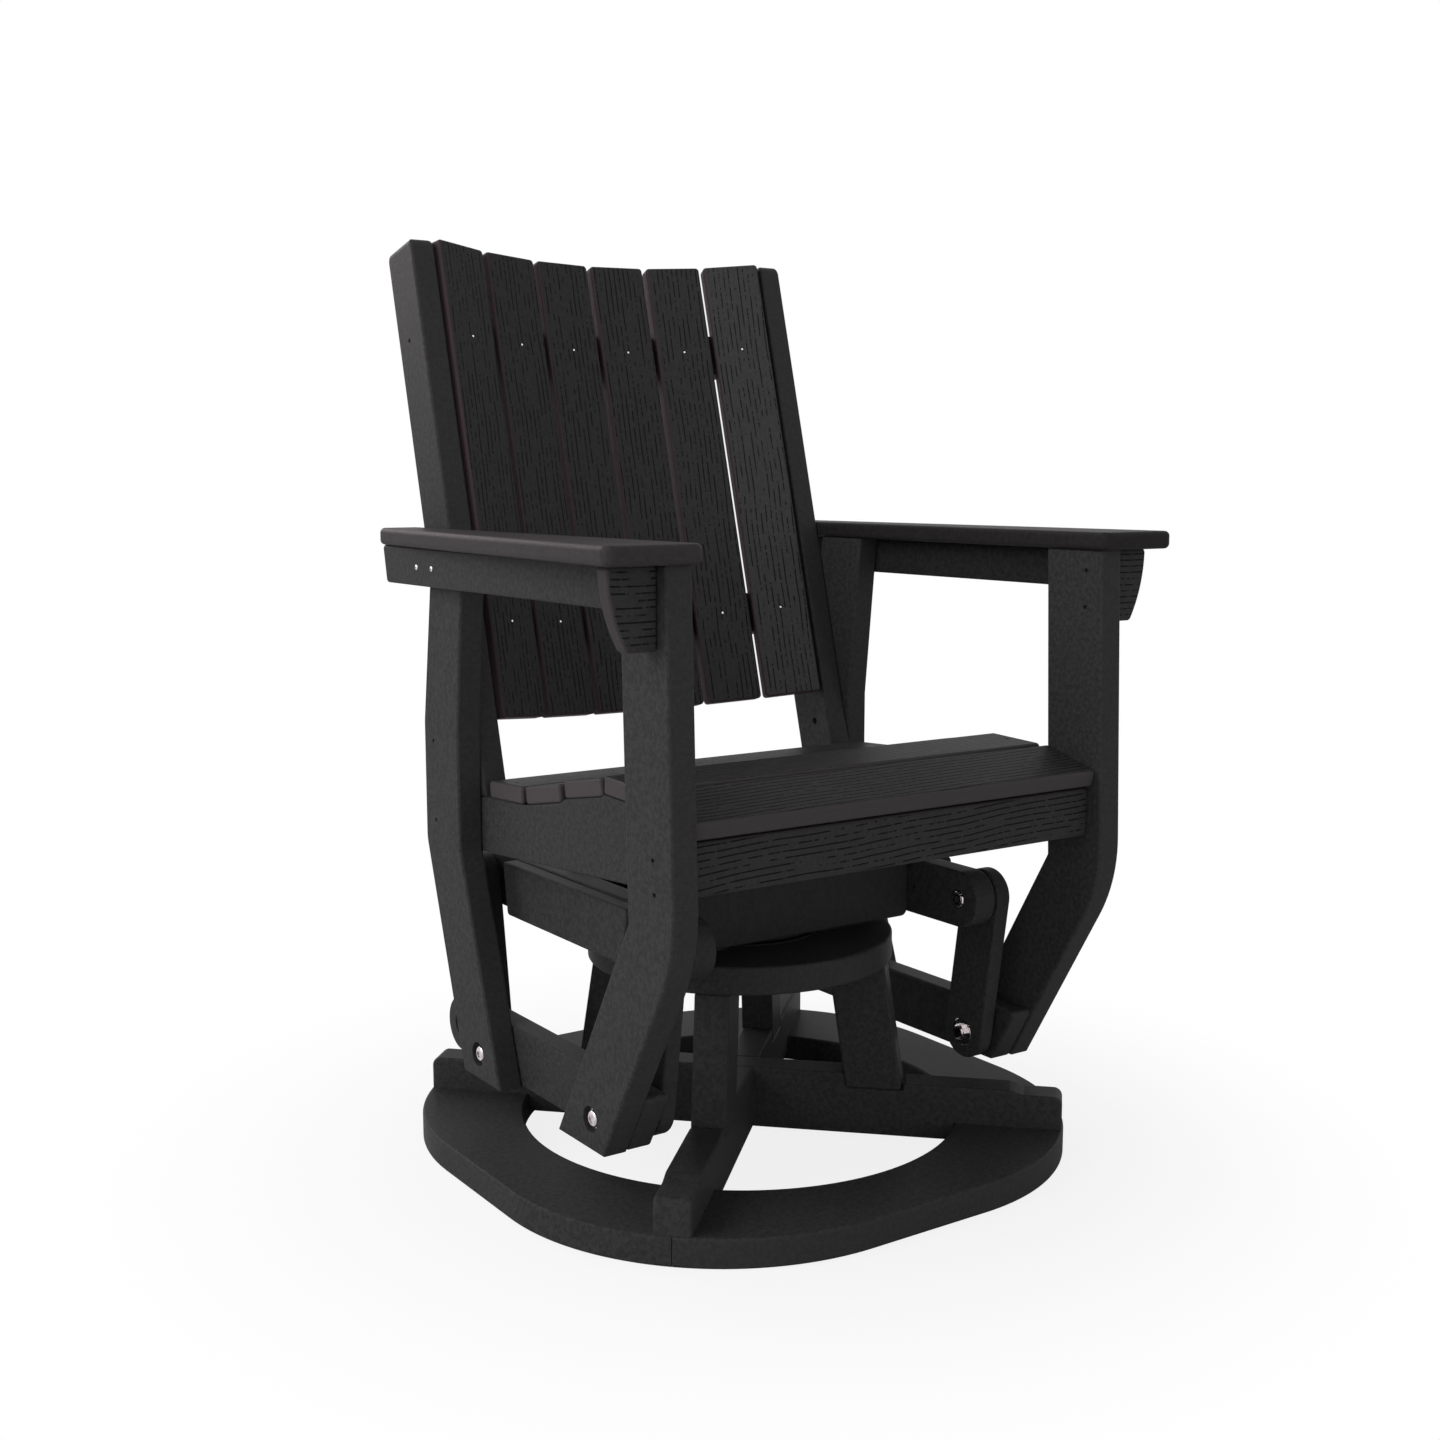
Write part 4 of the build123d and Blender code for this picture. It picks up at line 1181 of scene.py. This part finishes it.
@dataclass
class Sides:
    """Legs and lower rails, with the arms, aprons and corbels over them.

    The arm and the apron of each side share a factor, given for the left and for the right: the
    right ones are darkened as painted shade, for the shade that falls on their inner faces.
    """

    lumber: LumberFinish
    steel: SteelFinish
    # painted sheen: the arms are lighter and pinker than the other boards, for the pink shine on
    # their tops and edges
    arm_sheen_lumber: LumberFinish = LumberFinish(
        dark=(0.0322, 0.0296, 0.0305), light=(0.0432, 0.0396, 0.0408), skin_depth=0.3 * MM
    )
    corbel_grain: Emboss = Emboss(bare=0.47)
    # painted shade: the right arm and apron are darkened for the shade on their inner faces
    side_painted_shade: tuple[float, float] = (1.0, 0.58)

    def dress_boards(self) -> None:
        """Give the boards a plain finish and the corbels their grain."""
        for name in ("front_leg", "rear_leg", "lower_rail"):
            dress(both(name), self.lumber.material(f"{name}_boards"))
        # each side's arm and apron are darkened by its factor as painted shade
        for side, painted_light_factor in zip(SIDES, self.side_painted_shade):
            dress((f"apron_{side}",), self.lumber.toned(painted_light_factor).material(f"apron_{side}_board"))
            dress((f"arm_{side}",), self.arm_sheen_lumber.toned(painted_light_factor).material(f"arm_{side}_board"))
        for node in both("corbel"):
            grain = (self.corbel_grain, Axes.upright(), Run.CROSSWISE)
            dress((node,), self.lumber.material(f"{node}_grain", *grain))

    def dress_metal(self) -> None:
        """Give the spacers their steel."""
        dress(("lower_spacers",), self.steel.material("lower_spacer_steel"))


@dataclass(frozen=True)
class Lamp:
    """One soft square lamp: where it hangs and its side in metres, its watts and its tint."""

    name: str
    place: Place
    side: float
    power: float
    colour: Colour


@dataclass
class Studio:
    """White room with soft light, a pale floor and the camera."""

    camera_place: Place = (-1.11094, -1.59282, 0.75097)
    camera_fall: float = 8.0
    camera_turn: float = -34.23
    lens: float = 43.69
    sensor: float = 36.0
    floor_reach: float = 14.0
    floor_colour: Colour = (0.8, 0.8, 0.8)
    floor_glow: float = 0.84
    shadow_reach: float = 0.34
    white_reach: float = 0.8
    ambient_low: float = 1.3
    ambient_high: float = 0.36
    ambient_from: float = 0.1
    ambient_to: float = 0.6
    target: Vector = Vector((0.0, 0.0, 0.5))
    lamps: tuple[Lamp, ...] = (
        Lamp("key", (-2.6, 0.3, 2.0), 1.8, 41.0, (1.0, 1.0, 1.0)),
        Lamp("rim", (-0.7, 2.7, 1.9), 1.6, 30.0, (1.0, 0.87, 0.92)),
        Lamp("sheen", (1.7, 2.2, 2.4), 0.7, 1.6, (1.0, 0.85, 0.91)),
    )

    def build_camera(self) -> None:
        """Stand the camera where the photograph was taken from."""
        camera = bpy.data.cameras.new("camera")
        camera.lens = self.lens
        camera.sensor_width = self.sensor
        holder = bpy.data.objects.new("camera", camera)
        holder.location = self.camera_place
        fall, turn = math.radians(90 - self.camera_fall), math.radians(self.camera_turn)
        holder.rotation_euler = (fall, 0, turn)
        bpy.context.scene.collection.objects.link(holder)
        bpy.context.scene.camera = holder

    def build_floor(self) -> None:
        """Lay a floor that shows white and keeps the shadow."""
        mesh = bpy.data.meshes.new("floor")
        reach = self.floor_reach
        corners = [(-reach, -reach, 0), (reach, -reach, 0), (reach, reach, 0), (-reach, reach, 0)]
        mesh.from_pydata(corners, [], [(0, 1, 2, 3)])
        floor = bpy.data.objects.new("floor", mesh)
        bpy.context.scene.collection.objects.link(floor)
        paint = Paint("floor_white")
        matt = paint.signal("ShaderNodeBsdfDiffuse", {}, {"Color": (*self.floor_colour, 1.0)})
        glow = paint.signal("ShaderNodeEmission", {}, {"Color": WHITE, "Strength": 1.0})
        seen = paint.signal("ShaderNodeLightPath", output="Is Camera Ray")
        operation = {"operation": "LENGTH"}
        away = paint.signal("ShaderNodeVectorMath", operation, {0: paint.place}, "Value")
        outside = away.ramp(self.shadow_reach, self.white_reach)
        share = self.floor_glow + outside * (1.0 - self.floor_glow)
        mixed = paint.signal("ShaderNodeMixShader", {}, {0: seen * share, 1: matt, 2: glow})
        paint.add("ShaderNodeOutputMaterial", {}, {"Surface": mixed})
        mesh.materials.append(paint.material)

    def build_world(self) -> None:
        """White surroundings that light the chair softly."""
        world = bpy.data.worlds.new("studio")
        world.use_nodes = True
        bpy.context.scene.world = world
        sky = Tree(world.node_tree)
        kinds = ("Is Camera Ray", "Is Glossy Ray", "Is Transmission Ray")
        camera, glossy, passed = (sky.signal("ShaderNodeLightPath", output=kind) for kind in kinds)
        white = camera.most(glossy).most(passed)
        direction = sky.signal("ShaderNodeTexCoord", output="Generated")
        rise = sky.signal("ShaderNodeSeparateXYZ", {}, {0: direction}, "Z")
        height = rise.ramp(self.ambient_from, self.ambient_to)
        ambient = self.ambient_low - height * (self.ambient_low - self.ambient_high)
        strength = white + (1.0 - white) * ambient
        glow = sky.signal("ShaderNodeBackground", {}, {"Color": WHITE, "Strength": strength})
        sky.add("ShaderNodeOutputWorld", {}, {"Surface": glow})

    def build_lamp(self, lamp: Lamp) -> None:
        """Hang a lamp that looks at the chair.

        Args:
            lamp: The lamp.
        """
        light = bpy.data.lights.new(lamp.name, "AREA")
        light.size = lamp.side
        light.energy = lamp.power
        light.color = lamp.colour
        holder = bpy.data.objects.new(lamp.name, light)
        holder.location = lamp.place
        gaze = self.target - Vector(lamp.place)
        holder.rotation_euler = gaze.to_track_quat("-Z", "Y").to_euler()
        bpy.context.scene.collection.objects.link(holder)

    def build(self) -> None:
        """Set up the whole studio."""
        bpy.context.scene.view_settings.view_transform = "Standard"
        self.build_camera()
        self.build_floor()
        self.build_world()
        for lamp in self.lamps:
            self.build_lamp(lamp)


def main() -> None:
    """Dress the chair from the ground up and set the studio round it."""
    logging.basicConfig(level=logging.INFO, format="%(name)s: %(message)s")
    lumber, steel, coating = LumberFinish(), SteelFinish(), CoatedFinish()
    base = Base(lumber, steel, coating)
    base.dress_boards()
    base.build_bearing()
    swivel = SwivelFrame(lumber, steel, coating)
    swivel.dress_boards()
    swivel.dress_metal()
    Links(lumber).dress_boards()
    sides = Sides(lumber, steel)
    sides.dress_boards()
    sides.dress_metal()
    Seat(lumber).dress_boards()
    Back(lumber).dress_boards()
    Bolts(steel).build()
    Screws(steel, coating).build()
    Studio().build()


if __name__ == "__main__":
    main()
